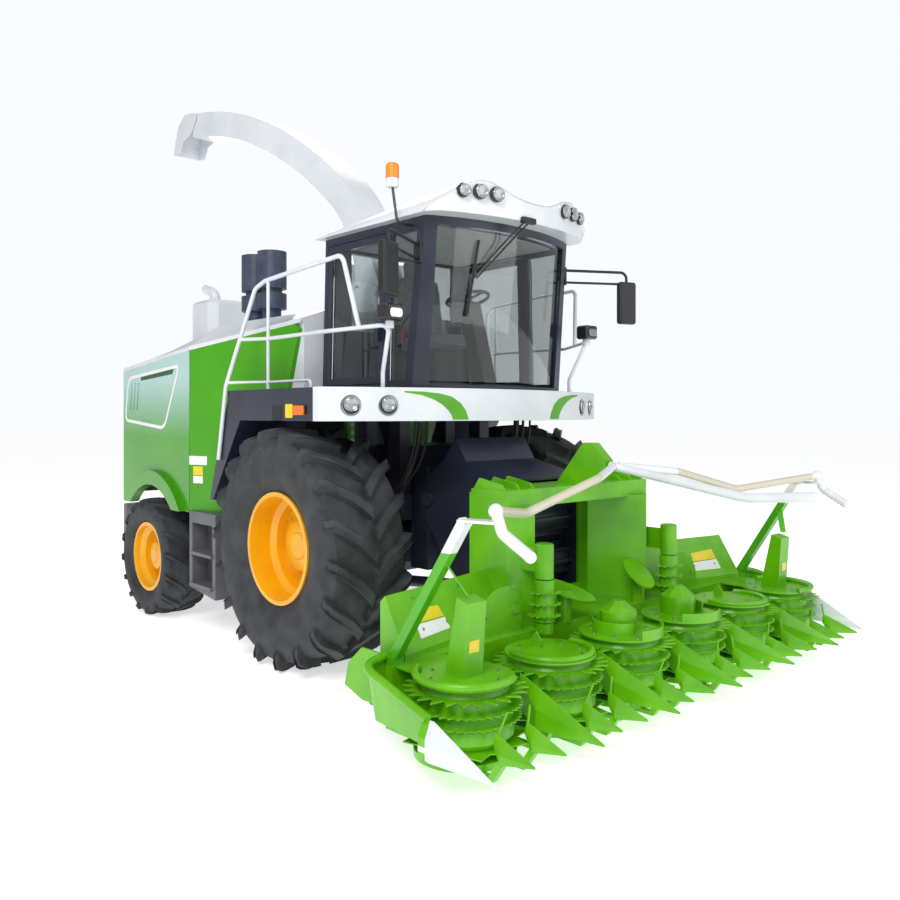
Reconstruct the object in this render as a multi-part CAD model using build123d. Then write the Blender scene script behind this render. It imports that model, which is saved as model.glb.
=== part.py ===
"""Self-propelled forage harvester with a rotary maize header.

Built in millimetres: +X forward, +Y to the machine's left, +Z up, ground at Z = 0.
The pieces are modelled with X = 0 at the front axle. The finished machine is moved along X
so that the origin lies on the ground under the middle of its length.
"""
import os
from math import asin, atan2, cos, degrees, hypot, pi, radians, sin, sqrt, tan

from build123d import *

# Running fit between a shaft and its bore, and the gap left between faces that only meet
fit = 0.3
# Least air between pieces that move past each other
clearance = 8.0

# Wheels
front_tyre_radius = 985.0
front_tyre_width = 740.0
front_rim_radius = 430.0
front_track = 2660.0
rear_tyre_radius = 605.0
rear_tyre_width = 480.0
rear_rim_radius = 325.0
rear_track = 2840.0
wheelbase = 2560.0
lug_height = 62.0
rear_lug_height = 26.0
lug_thickness = 58.0
front_lug_count = 18
rear_lug_count = 16
rim_wall = 14.0
rim_flange = 30.0
wheel_disc = 24.0
front_hub_radius = 150.0
rear_hub_radius = 105.0
hub_flange = 40.0
tyre_facets = 36

# Axles and steering
axle_tube_radius = 165.0
rear_beam = 180.0
kingpin_inset = 320.0
kingpin_radius = 36.0
knuckle_height = 230.0
knuckle_radius = 82.0
ear_thickness = 34.0
steer_arm = 200.0
tie_rod_radius = 20.0
tie_rod_eye = 26.0

# Chassis
rail_gap = 860.0
rail_width = 120.0
rail_depth = 230.0
rail_front_x = 300.0
rail_rear_x = -3380.0
cross_members = (-1150.0, -1850.0, -3250.0)

# Cab: a floor outline and an eave outline, bowed at the windscreen
cab_floor_z = 2290.0
cab_eave_z = 3660.0
cab_rear_x = -400.0
cab_floor_corner_x = 860.0
cab_eave_corner_x = 985.0
cab_floor_half = 900.0
cab_eave_half = 865.0
windscreen_bow = 190.0
cab_wall = 60.0
glass = 8.0
pillar = 95.0
door_front_x = 480.0

# Roof
roof_overhang = 85.0
roof_front_x = 1150.0
roof_bow = 215.0
roof_rear_height = 110.0
roof_front_height = 300.0
roof_dip_radius = 520.0

# Platform, front fascia and fenders
deck_thickness = 60.0
fascia_half = 1670.0
fascia_end_x = 677.0
fascia_mid_x = 1135.0
fascia_height = 262.0
fascia_thickness = 70.0
fender_outer = 1620.0
fender_gap = 62.0
fender_rear_x = -1160.0
fender_foot_z = 1300.0

# Engine bay
waist_x = -430.0
waist_half = 1120.0
crease_x = -1720.0
crease_half = 1550.0
tail_x = -3420.0
tail_half = 1520.0
panel = 40.0
panel_foot_z = 1150.0
waist_top_z = 2900.0
crease_top_z = 2700.0
tail_top_z = 2550.0
hood_rise_waist = 110.0
hood_rise_crease = 230.0
hood_rise_tail = 75.0
hood_shoulder = 330.0
arch_gap = 140.0
arch_lip = 150.0
panel_rake = 150.0

# Discharge spout
spout_x = -740.0
spout_base_z = 3300.0
spout_width = 340.0
spout_height = 300.0
spout_sheet = 6.0
spout_bend_radius = 1450.0
spout_bend = 50.0
spout_sweep_radius = 6650.0
spout_sweep = 31.0
turret_radius = 262.0
turret_wall = 14.0
turret_foot_z = 2960.0
turret_height = 200.0
spout_drop = 14.0
cheek = 12.0
spout_pin_radius = 30.0

# Feeder and header lift
lift_x = 520.0
lift_z = 1350.0
lift_pin_radius = 60.0
feeder_half = 420.0
feeder_plate = 20.0
feeder_front_x = 1480.0
feeder_foot_z = 640.0
throat_half = 395.0
throat_top_z = 1390.0
feed_roll_x = 1270.0
feed_roll_radius = 165.0
feed_roll_z = (845.0, 1215.0)
roll_bar_count = 10
cylinder_y = 470.0
cylinder_radius = 48.0
rod_radius = 28.0

# Header
rotor_pitch = 750.0
rotor_count = 6
rotor_x = 2500.0
rotor_radius = 366.0
rotor_foot_z = 205.0
rotor_height = 345.0
spindle_radius = 60.0
beam_half = 2100.0
beam_end_x = 1880.0
beam_rear_x = 1690.0
beam_front_x = 2100.0
beam_foot_z = 300.0
deck_top_z = 950.0
deck_foot_z = 620.0
pan_foot_z = 130.0
pan_thickness = 40.0
tip_x = 3150.0
tip_z = 270.0
divider_lead = 60.0
guard_y = 2285.0
guard_plate = 14.0
guard_lip = 26.0
drum_x = 2140.0
drum_y = 770.0
drum_foot_z = 640.0
drum_radius = 118.0
drum_height = 290.0
drum_cap_height = 250.0
drum_cap_radius = 66.0
guide_tube_radius = 32.0

# Worked-out places
front_axle_z = front_tyre_radius
rear_axle_z = rear_tyre_radius
rear_axle_x = -wheelbase
front_wheel_y = front_track / 2
rear_wheel_y = rear_track / 2
kingpin_y = rear_wheel_y - kingpin_inset
rail_z = front_axle_z + axle_tube_radius
deck_z = cab_floor_z - deck_thickness
rotor_ys = [(index - (rotor_count - 1) / 2) * rotor_pitch for index in range(rotor_count)]
sides = (-1, 1)


def block(x, y, z):
    """Box between two limits on each axis."""
    size = [limits[1] - limits[0] for limits in (x, y, z)]
    centre = [(limits[1] + limits[0]) / 2 for limits in (x, y, z)]
    return Pos(*centre) * Box(*size)


def side_plate(points, y):
    """Flat outline in X and Z, as thick as the Y limits."""
    face = make_face(Plane.XZ * Polyline(*points, close=True))
    return Pos(0, y[0], 0) * extrude(face, y[1] - y[0], dir=(0, 1, 0))


def plan_plate(points, z):
    """Flat outline in X and Y, as thick as the Z limits."""
    face = make_face(Polyline(*points, close=True))
    return Pos(0, 0, z[0]) * extrude(face, z[1] - z[0], dir=(0, 0, 1))


def bar(start, end, radius):
    """Round bar from one point to another."""
    start, end = Vector(*start), Vector(*end)
    return extrude(Plane(origin=start, z_dir=end - start) * Circle(radius), (end - start).length)


def square_bar(start, end, width, height):
    """Rectangular bar from one point to another, its height in the vertical plane."""
    start, end = Vector(*start), Vector(*end)
    along = end - start
    across = Vector(0, 0, 1).cross(along)
    section = Plane(origin=start, x_dir=across, z_dir=along) * Rectangle(width, height)
    return extrude(section, along.length)


def pipe(points, bend, radius):
    """Round tube bent along straight runs."""
    path = FilletPolyline(*points, radius=bend)
    return sweep(Plane(origin=path @ 0, z_dir=path % 0) * Circle(radius), path)


def across_cylinder(x, z, y, radius):
    """Cylinder along Y between two limits."""
    return bar((x, y[0], z), (x, y[1], z), radius)


def upright(x, y, z, radius):
    """Cylinder along Z between two limits."""
    return bar((x, y, z[0]), (x, y, z[1]), radius)


def ring(x, y, z, outer, inner):
    """Flat round washer about a vertical axis."""
    return upright(x, y, z, outer) - upright(x, y, z, inner)


def other_side(shape):
    """The same piece on the machine's right."""
    return mirror(shape, about=Plane.XZ)


def both_sides(shape):
    """A left piece and its right twin, as two solids of one node."""
    return Compound([*shape.solids(), *other_side(shape).solids()])


def fused(shapes):
    """One solid from pieces that overlap or meet."""
    shapes = list(shapes)
    return shapes[0].fuse(*shapes[1:]).clean() if len(shapes) > 1 else shapes[0]


# Wheels: built at the origin for the left side, with the outside towards +Y


def lug_bar(radius, height, start, end):
    """One straight tread bar. start and end are (distance along the tread, distance across it)."""
    run, reach = end[0] - start[0], end[1] - start[1]
    length = hypot(run, reach)
    lean = atan2(reach, run)
    half_run = abs(length / 2 * cos(lean)) + abs(lug_thickness / 2 * sin(lean))
    top = sqrt(radius**2 - half_run**2)
    root = height + 30.0
    shape = Box(length, lug_thickness, root)
    turn = degrees((start[0] + end[0]) / 2 / radius)
    placed = Pos(0, (start[1] + end[1]) / 2, top - root / 2) * Rot(0, 0, degrees(lean)) * shape
    return Rot(0, turn, 0) * placed, half_run


def tyre(radius, width, seat, bead_half, height, lugs):
    """Carcass of flat facets with two rows of chevron bars."""
    base = radius - height
    half = width / 2
    wall = base - seat
    # columns: distance from the middle plane, radius
    profile = [
        (bead_half, seat + rim_flange + 8.0),
        (half * 0.98, seat + 0.42 * wall),
        (half, seat + 0.62 * wall),
        (half * 0.93, base - 0.14 * wall),
        (half * 0.76, base),
    ]
    profile = [(-y, r) for y, r in profile] + profile[::-1]
    sections = [
        Plane(origin=(0, y, 0), x_dir=(1, 0, 0), z_dir=(0, 1, 0)) * RegularPolygon(r, tyre_facets)
        for y, r in profile
    ]
    carcass = loft(sections, ruled=True) - across_cylinder(0, 0, (-half, half), seat + fit)
    knee, edge = 0.42 * half, 0.965 * half
    inner_run = -(knee - 12.0)
    outer_run = inner_run - (edge - knee) * tan(radians(34))
    pieces = []
    pitch = 2 * pi * radius / lugs
    for side in sides:
        inner, half_run = lug_bar(radius, height, (0, side * 12.0), (inner_run, side * knee))
        outer, _ = lug_bar(radius, height, (inner_run, side * knee), (outer_run, side * edge))
        # the first bar's leading corner stands at the bottom of the wheel
        lead = 180 - degrees(asin(half_run / radius)) - degrees(inner_run / 2 / radius)
        for index in range(lugs):
            place = Rot(0, lead + degrees(pitch / radius) * (index + (0.5 if side > 0 else 0.0)), 0)
            pieces += [place * inner, place * outer]
    return carcass.fuse(*pieces)


def rim(radius, width, hub, disc_y):
    """Drop-centre rim with its disc set well inside."""
    half = width / 2
    lip = 20.0
    inside = radius - rim_wall
    step = inside - 46.0
    # columns: radius, distance towards the outside
    profile = [
        (radius + rim_flange, -half),
        (radius + rim_flange, lip - half),
        (radius, lip - half),
        (radius, half - lip),
        (radius + rim_flange, half - lip),
        (radius + rim_flange, half),
        (inside + 8.0, half),
        (inside, half - 60.0),
        (inside, disc_y + 150.0),
        (step, disc_y + 110.0),
        (step, disc_y + wheel_disc),
        (hub, disc_y + wheel_disc),
        (hub, disc_y),
        (step, disc_y),
        (inside, disc_y - 30.0),
        (inside, -half),
    ]
    face = make_face(Polyline(*profile, close=True))
    return revolve(face, Axis.Y)


front_rim_width = 0.80 * front_tyre_width
rear_rim_width = 0.80 * rear_tyre_width
front_disc_y = -0.06 * front_tyre_width
rear_disc_y = -0.02 * rear_tyre_width


def hub(x, y, z, bore, disc_y, inward):
    """Hub that carries a wheel disc, with its nose through the disc and a stub towards the middle."""
    face_y = y + disc_y - fit
    nose = across_cylinder(x, z, (face_y - 1.0, face_y + wheel_disc + 90.0), bore - fit)
    flange = across_cylinder(x, z, (face_y - hub_flange, face_y), bore + 70.0)
    stub = across_cylinder(x, z, (inward, face_y - hub_flange + 1.0), bore * 0.72)
    return fused([nose, flange, stub])


def wheel_set():
    """Four tyres and four rims on their axles."""
    front_tyre = tyre(
        front_tyre_radius,
        front_tyre_width,
        front_rim_radius,
        front_rim_width / 2 - 20.0 - fit,
        lug_height,
        front_lug_count,
    )
    rear_tyre = tyre(
        rear_tyre_radius,
        rear_tyre_width,
        rear_rim_radius,
        rear_rim_width / 2 - 20.0 - fit,
        rear_lug_height,
        rear_lug_count,
    )
    front_rim = rim(front_rim_radius, front_rim_width, front_hub_radius, front_disc_y)
    rear_rim = rim(rear_rim_radius, rear_rim_width, rear_hub_radius, rear_disc_y)
    front = Pos(0, front_wheel_y, front_axle_z)
    rear = Pos(rear_axle_x, rear_wheel_y, rear_axle_z)
    pieces = {}
    for name, place, shape in [
        ("tyre_front", front, front_tyre),
        ("rim_front", front, front_rim),
        ("tyre_rear", rear, rear_tyre),
        ("rim_rear", rear, rear_rim),
    ]:
        pieces[name + "_left"] = place * shape
        pieces[name + "_right"] = other_side(place * shape)
    return pieces


# Chassis and axles


def chassis_frame():
    """Two rails with cross members and the rear axle's saddle."""
    rail_y = (rail_gap / 2, rail_gap / 2 + rail_width)
    rail = block((rail_rear_x, rail_front_x), rail_y, (rail_z, rail_z + rail_depth))
    pieces = [rail, other_side(rail)]
    for x in cross_members:
        span = (-rail_y[0] - 1, rail_y[0] + 1)
        pieces.append(block((x - 70, x + 70), span, (rail_z + 20, rail_z + rail_depth - 20)))
    saddle = side_plate(
        [
            (rear_axle_x - 170, rear_axle_z + rear_beam / 2),
            (rear_axle_x + 170, rear_axle_z + rear_beam / 2),
            (rear_axle_x + 300, rail_z + 60),
            (rear_axle_x - 300, rail_z + 60),
        ],
        (-rail_y[1], rail_y[1]),
    )
    return fused([*pieces, saddle])


def front_axle():
    """Drive axle with a gearbox in the middle and a hub at each end."""
    inner = front_wheel_y + front_disc_y - 330.0
    tube = across_cylinder(0, front_axle_z, (-inner, inner), axle_tube_radius)
    gearbox = block((-260, 230), (-300, 300), (front_axle_z - 250, front_axle_z + axle_tube_radius))
    left = hub(0, front_wheel_y, front_axle_z, front_hub_radius, front_disc_y, inner - 1.0)
    return fused([tube, gearbox, left, other_side(left)])


def rear_axle():
    """Steering axle beam with a forked end and a kingpin on each side."""
    z = rear_axle_z
    ear_gap = knuckle_height / 2 + fit
    beam_end = kingpin_y - knuckle_radius - 30.0
    half = rear_beam / 2
    beam = block((rear_axle_x - half, rear_axle_x + half), (-beam_end, beam_end), (z - half, z + half))
    pieces = [beam]
    for side in sides:
        for level in sides:
            face = z + level * ear_gap
            outer_face = face + level * ear_thickness
            height = (min(face, outer_face), max(face, outer_face))
            pieces.append(upright(rear_axle_x, side * kingpin_y, height, knuckle_radius))
            reach = sorted((side * (beam_end - 120), side * kingpin_y))
            pieces.append(
                block((rear_axle_x - knuckle_radius, rear_axle_x + knuckle_radius), reach, height)
            )
        web = sorted((side * (beam_end - 120), side * (beam_end - 40)))
        span = (z - ear_gap - ear_thickness, z + ear_gap + ear_thickness)
        pieces.append(block((rear_axle_x - knuckle_radius, rear_axle_x + knuckle_radius), web, span))
        pieces.append(upright(rear_axle_x, side * kingpin_y, span, kingpin_radius))
    return fused(pieces)


steer_arm_z = rear_axle_z - knuckle_height / 2 + 30.0


def knuckle():
    """Left steering knuckle: sleeve on the kingpin, wheel hub and steering arm."""
    height = (rear_axle_z - knuckle_height / 2, rear_axle_z + knuckle_height / 2)
    sleeve = upright(rear_axle_x, kingpin_y, height, knuckle_radius)
    wheel_hub = hub(rear_axle_x, rear_wheel_y, rear_axle_z, rear_hub_radius, rear_disc_y, kingpin_y)
    arm_end = rear_axle_x - steer_arm
    arm = block(
        (arm_end, rear_axle_x), (kingpin_y - 35, kingpin_y + 35),
        (steer_arm_z - 15, steer_arm_z + 15),
    )
    eye = upright(arm_end, kingpin_y, (steer_arm_z - 15, steer_arm_z + 15), 45.0)
    bore = upright(rear_axle_x, kingpin_y, (height[0] - 1, height[1] + 1), kingpin_radius + fit)
    return fused([sleeve, wheel_hub, arm, eye]) - bore


def tie_rod():
    """Rod under the two steering arms, with a round eye at each end."""
    x = rear_axle_x - steer_arm
    z = steer_arm_z - 15 - fit - tie_rod_eye
    rod = across_cylinder(x, z, (-kingpin_y, kingpin_y), tie_rod_radius)
    eyes = [upright(x, side * kingpin_y, (z - tie_rod_eye, z + tie_rod_eye), 38.0) for side in sides]
    return fused([rod, *eyes])


def engine_block():
    """Engine with its radiator, one plain block on the rails."""
    return block((-3250, -2050), (-500, 500), (rail_z + rail_depth + fit, 2250))


# Chopper housing and crop chute behind the cab


def chopper_housing():
    """Cutterhead case between the front wheels, with the chute that rises to the spout."""
    half = feeder_half - feeder_plate - clearance
    case = side_plate(
        [
            (470, 720),
            (470, 1620),
            (300, 1800),
            (-300, 1800),
            (-420, 1650),
            (-420, rail_z + 60),
            (-300, rail_z + clearance),
            (240, rail_z + clearance),
            (240, 720),
        ],
        (-half, half),
    )
    feet = rail_gap / 2 - fit
    saddle = block((-220, 220), (-feet, feet), (rail_z + 40, rail_z + rail_depth - 40))
    inside = spout_height / 2 + 25.0
    chute = side_plate(
        [
            (-380, 1180),
            (-380, 1700),
            (spout_x + inside, 2100),
            (spout_x + inside, turret_foot_z - 40),
            (spout_x - inside, turret_foot_z - 40),
            (spout_x - inside, 1500),
        ],
        (-spout_width / 2, spout_width / 2),
    )
    collar = upright(spout_x, 0, (turret_foot_z - 60, turret_foot_z - fit), turret_radius + 30.0)
    pin = across_cylinder(lift_x, lift_z, (-feeder_half - 40, feeder_half + 40), lift_pin_radius)
    trunnion = side_plate(
        [
            (440, lift_z - 130), (440, lift_z + 130), (lift_x, lift_z + 130),
            (lift_x + 110, lift_z), (lift_x, lift_z - 130),
        ],
        (-half, half),
    )
    return fused([case, saddle, chute, collar, trunnion, pin])


# Cab


def cab_outline(corner_x, half, inset, z):
    """Plan of the cab at one height: straight sides and back, an arc at the windscreen."""
    front, back, side = corner_x - inset, cab_rear_x + inset, half - inset
    edges = [
        Line((front, side), (back, side)),
        Line((back, side), (back, -side)),
        Line((back, -side), (front, -side)),
        ThreePointArc((front, -side), (front + windscreen_bow, 0), (front, side)),
    ]
    return Pos(0, 0, z) * make_face(edges)


def cab_block(inset, foot=0.0, head=0.0):
    """The cab's outside form, drawn in by an inset and shortened at its foot and head."""
    height = cab_eave_z - cab_floor_z
    lean_x = (cab_eave_corner_x - cab_floor_corner_x) / height
    lean_y = (cab_eave_half - cab_floor_half) / height
    sections = []
    for z in (cab_floor_z + foot, cab_eave_z - head):
        rise = z - cab_floor_z
        sections.append(
            cab_outline(cab_floor_corner_x + lean_x * rise, cab_floor_half + lean_y * rise, inset, z),
        )
    return loft(sections, ruled=True)


sill_z = cab_floor_z + 70.0
lintel_z = cab_eave_z - 95.0
far_out = 3000.0


def door_prism(inset):
    """Column through the cab's left wall where the door is."""
    return block(
        (cab_rear_x + 45.0 + inset, door_front_x - inset),
        (cab_eave_half - 250.0, far_out),
        (sill_z - 30.0 + inset, lintel_z + 30.0 - inset),
    )


def quarter_prism(inset):
    """Column through the left wall between the door and the windscreen pillar."""
    front = cab_floor_corner_x - pillar
    lean = cab_eave_corner_x - cab_floor_corner_x
    points = [
        (door_front_x + 70.0 + inset, sill_z + inset),
        (front - inset, sill_z + inset),
        (front + lean - inset, lintel_z - inset),
        (door_front_x + 70.0 + inset, lintel_z - inset),
    ]
    return side_plate(points, (cab_eave_half - 250.0, far_out))


def windscreen_prism(inset):
    """Column through the front, from sill to lintel and pillar to pillar."""
    half = cab_eave_half - pillar - inset
    return block(
        (cab_floor_corner_x - 140.0, far_out), (-half, half),
        (sill_z - 40.0 + inset, lintel_z + 30.0 - inset),
    )


def rear_window_prism(inset):
    """Column through the back wall."""
    return block(
        (-far_out, cab_rear_x + 200.0),
        (-cab_floor_half + 240.0 + inset, cab_floor_half - 240.0 - inset),
        (cab_floor_z + 560.0 + inset, lintel_z - inset),
    )


def cab_frame():
    """Floor, pillars, back wall and eaves, with every window and both doorways cut."""
    shell = cab_block(0.0) - cab_block(cab_wall, foot=cab_wall, head=-1.0)
    ceiling = cab_block(1.0, foot=cab_eave_z - cab_floor_z - 30.0)
    left = [door_prism(0.0), quarter_prism(0.0)]
    openings = [
        *left, *[other_side(shape) for shape in left], windscreen_prism(0.0),
        rear_window_prism(0.0),
    ]
    return shell.fuse(ceiling).cut(*openings).clean()


def glass_shell():
    """Thin sheet all round, in the middle of the wall's thickness."""
    return cab_block(20.0, foot=cab_wall) - cab_block(20.0 + glass, foot=cab_wall - 1.0, head=-1.0)


def cab_glass():
    """Windscreen, quarter windows and rear window, each bonded into its opening."""
    sheet = glass_shell()
    panes = [sheet & windscreen_prism(fit), sheet & rear_window_prism(fit)]
    quarter = sheet & quarter_prism(fit)
    panes += [quarter, other_side(quarter)]
    return Compound([solid for pane in panes for solid in pane.solids()])


door_gap = 7.0
door_border = 60.0


def door_window():
    """Column through the door where its pane is."""
    inset = door_gap + door_border
    return door_prism(inset)


def door():
    """Left door: a frame with a rounded window, a handle, and two hinge leaves at the back."""
    wall = cab_block(0.0) - cab_block(cab_wall, foot=-1.0, head=-1.0)
    frame = (wall & door_prism(door_gap)) - door_window()
    handle_x = door_front_x - door_gap - door_border / 2
    handle = block(
        (handle_x - 22, handle_x + 22),
        (cab_floor_half - 45, cab_floor_half + 45),
        (sill_z + 330, sill_z + 470),
    )
    return fused([frame, handle])


def door_glass():
    """Pane of the left door."""
    inset = door_gap + door_border + fit
    return glass_shell() & door_prism(inset)


def cab_roof():
    """Moulded roof: low at the back, deep at the front, with a dip between the two lamp pods."""
    half = cab_eave_half + roof_overhang
    rear = cab_rear_x - 40.0
    plan = make_face(
        [
            Line((roof_front_x, half), (rear, half)),
            Line((rear, half), (rear, -half)),
            Line((rear, -half), (roof_front_x, -half)),
            ThreePointArc((roof_front_x, -half), (roof_front_x + roof_bow, 0), (roof_front_x, half)),
        ]
    )
    body = Pos(0, 0, cab_eave_z + fit) * extrude(plan, roof_front_height + 100.0)
    body = fillet(body.edges().filter_by(Axis.Z), 130.0)
    crown = roof_front_height
    side_view = Plane.XZ * make_face(
        [
            Line((rear - 50, 0), (far_out, 0)),
            Line((far_out, 0), (far_out, crown - 30)),
            Line((far_out, crown - 30), (roof_front_x, crown)),
            ThreePointArc(
                (roof_front_x, crown), ((roof_front_x + rear) / 2, crown * 0.86),
                (rear - 50, roof_rear_height),
            ),
            Line((rear - 50, roof_rear_height), (rear - 50, 0)),
        ]
    )
    profile = Pos(0, -half - 50, cab_eave_z) * extrude(side_view, 2 * half + 100, dir=(0, 1, 0))
    dip_z = cab_eave_z + crown - 88.0 + roof_dip_radius
    dip_start = Vector(roof_front_x - 650.0, 0, dip_z + 330.0)
    dip_end = Vector(roof_front_x + roof_bow + 150.0, 0, dip_z)
    dip = bar(dip_start, dip_end, roof_dip_radius)
    return (body & profile) - dip


def operator_seat():
    """Seat on its pedestal."""
    floor = cab_floor_z + cab_wall + fit
    pedestal = block((-30, 290), (-180, 180), (floor, floor + 330))
    cushion = block((-120, 380), (-250, 250), (floor + 330, floor + 450))
    back = side_plate(
        [(-120, floor + 440), (10, floor + 440), (-90, floor + 1010), (-190, floor + 1010)],
        (-240, 240),
    )
    head = side_plate(
        [(-180, floor + 1000), (-90, floor + 1000), (-115, floor + 1180), (-190, floor + 1180)],
        (-140, 140),
    )
    armrest = block((-60, 330), (250, 420), (floor + 330, floor + 640))
    return fused([pedestal, cushion, back, head, armrest])


def steering_column():
    """Leaning column with a wheel and three spokes."""
    floor = cab_floor_z + cab_wall + fit
    foot, head = Vector(760, 0, floor), Vector(560, 0, floor + 760)
    lean = head - foot
    column = side_plate(
        [(690, floor), (850, floor), (640, floor + 730), (530, floor + 730)],
        (-75, 75),
    )
    wheel_plane = Plane(origin=head, z_dir=lean)
    wheel = wheel_plane * Torus(190.0, 15.0)
    spokes = [
        wheel_plane * Rot(0, 0, 120 * index) * Pos(92, 0, -6) * Box(190, 24, 14) for index in range(3)
    ]
    boss = wheel_plane * Pos(0, 0, -30) * Cylinder(42, 70)
    return fused([column, boss, wheel, *spokes])


# Front fascia, platform and fenders


def fascia_arc(back):
    """Bowed plan line of the fascia, moved back from its face."""
    return (
        (fascia_end_x - back, fascia_half),
        (fascia_mid_x - back, 0),
        (fascia_end_x - back, -fascia_half),
    )


fascia_foot_z = cab_floor_z - fascia_height
# columns: distance from the middle plane of each lamp
fascia_lamp_ys = (1180.0, 1450.0)
fascia_lamp_radius = 62.0


def fascia_point(y):
    """X of the fascia's face at a distance from the middle, and the way it faces."""
    sag = fascia_mid_x - fascia_end_x
    radius = (sag**2 + fascia_half**2) / (2 * sag)
    centre_x = fascia_mid_x - radius
    return centre_x + sqrt(radius**2 - y**2), degrees(asin(y / radius))


def fascia_lamp_places():
    """Places of the four lamps, facing out of the fascia."""
    z = cab_floor_z - 0.55 * fascia_height
    for side in sides:
        for y in fascia_lamp_ys:
            x, turn = fascia_point(side * y)
            yield Pos(x, side * y, z) * Rot(0, 0, turn)


def cab_bumper():
    """Bowed white fascia under the windscreen, with a scooped recess for each lamp."""
    outer, inner = fascia_arc(0.0), fascia_arc(fascia_thickness)
    face = make_face(
        [
            ThreePointArc(*outer),
            Line(outer[2], inner[2]),
            ThreePointArc(*inner[::-1]),
            Line(inner[0], outer[0]),
        ]
    )
    body = Pos(0, 0, fascia_foot_z) * extrude(face, fascia_height)
    for place in fascia_lamp_places():
        body -= place * Pos(-5.0, 0, 0) * Rot(0, 90, 0) * Cone(
            fascia_lamp_radius + 4.0, fascia_lamp_radius + 34.0, 50.0,
        )
    return body


def platform_deck():
    """Walkway round the cab, the apron under the fascia and both front fenders."""
    back = fascia_thickness + fit
    arc = fascia_arc(back)
    plan = make_face(
        [
            ThreePointArc(*arc),
            Line(arc[2], (fascia_end_x - back, -fender_outer)),
            Line((fascia_end_x - back, -fender_outer), (-820, -fender_outer)),
            Line((-820, -fender_outer), (-820, -waist_half + 60)),
            Line((-820, -waist_half + 60), (waist_x + 40, -waist_half + 60)),
            Line((waist_x + 40, -waist_half + 60), (waist_x + 40, waist_half - 60)),
            Line((waist_x + 40, waist_half - 60), (-820, waist_half - 60)),
            Line((-820, waist_half - 60), (-820, fender_outer)),
            Line((-820, fender_outer), (fascia_end_x - back, fender_outer)),
            Line((fascia_end_x - back, fender_outer), arc[0]),
        ]
    )
    deck = Pos(0, 0, deck_z - fit) * extrude(plan, deck_thickness)
    inner = front_wheel_y - front_tyre_width / 2 - 30.0
    outline = [
        (fascia_end_x - back, deck_z + 20),
        (-800, deck_z + 20),
        (fender_rear_x + 190, 1850),
        (fender_rear_x, fender_foot_z),
        (fender_rear_x + 60, fender_foot_z),
        (-600, fascia_foot_z),
        (fascia_end_x - back, fascia_foot_z),
    ]
    wheel_room = across_cylinder(0, front_axle_z, (0, far_out), front_tyre_radius + fender_gap)
    fender = side_plate(outline, (inner, fender_outer)) - wheel_room
    web = block((-400, fascia_end_x - 150), (-inner - 1, -inner + 120), (fascia_foot_z + 60, deck_z + 10))
    legs = [
        block((-350, -200), (y, y + 120), (rail_z + rail_depth + fit, deck_z + 10)) for y in (430, -550)
    ]
    front_legs = [
        block((130, 280), (y, y + 120), (rail_z + rail_depth + fit, deck_z + 10)) for y in (430, -550)
    ]
    return fused([deck, fender, other_side(fender), web, other_side(web), *legs, *front_legs])


# Rails, mirrors and lamps

rail_tube = 19.0
rail_line = 1420.0
rail_corner = (950.0, 1200.0)
rail_foot_z = deck_z + deck_thickness - fit
rail_top_z = rail_foot_z + 960.0
rail_knee_z = rail_foot_z + 480.0


def handrails():
    """Leaning stanchion, top rail, knee rail, toe rail and a post on each side of the platform."""
    post_x = -470.0
    beside_fender = fender_outer + rail_tube + fit
    stanchion_foot = (-818, beside_fender, rail_foot_z + 40)
    leg = bar((-955, beside_fender, 1674), stanchion_foot, 0.96 * rail_tube)
    stanchion_head = (-640, rail_line + 30, rail_top_z - 60)
    top = pipe(
        [
            stanchion_foot,
            stanchion_head,
            (-520, rail_line, rail_top_z),
            (640, rail_line, rail_top_z + 70),
            (715, 1315, rail_knee_z - 16),
        ],
        70.0,
        rail_tube,
    )
    share = (rail_knee_z - 30 - stanchion_foot[2]) / (stanchion_head[2] - stanchion_foot[2])
    knee_start = [low + share * (high - low) for low, high in zip(stanchion_foot, stanchion_head)]
    link = bar(knee_start, (post_x, rail_line, rail_knee_z - 30), 0.86 * rail_tube)
    knee = pipe(
        [
            (post_x, rail_line, rail_knee_z - 30),
            (500, rail_line, rail_knee_z - 30),
            (*rail_corner, rail_knee_z),
            (790, 1140, rail_foot_z + 120),
            (790, 1140, rail_foot_z + fit),
        ],
        50.0,
        0.92 * rail_tube,
    )
    post = bar((post_x, rail_line, rail_foot_z + fit), (post_x, rail_line, rail_top_z), 0.8 * rail_tube)
    toe_z = rail_foot_z + 70.0
    share = (toe_z - stanchion_foot[2]) / (stanchion_head[2] - stanchion_foot[2])
    toe_start = [low + share * (high - low) for low, high in zip(stanchion_foot, stanchion_head)]
    toe_link = bar(toe_start, (post_x, rail_line, toe_z), 0.72 * rail_tube)
    toe_run = [(post_x, rail_line, toe_z), (200, rail_line, toe_z), (200, rail_line, rail_foot_z + fit)]
    toe = pipe(toe_run, 40.0, 0.66 * rail_tube)
    lamp_seat = upright(*rail_corner, (rail_knee_z - 30.0, rail_knee_z + 26.0), 34.0)
    return both_sides(fused([leg, top, link, knee, lamp_seat, post, toe_link, toe]))


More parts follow.
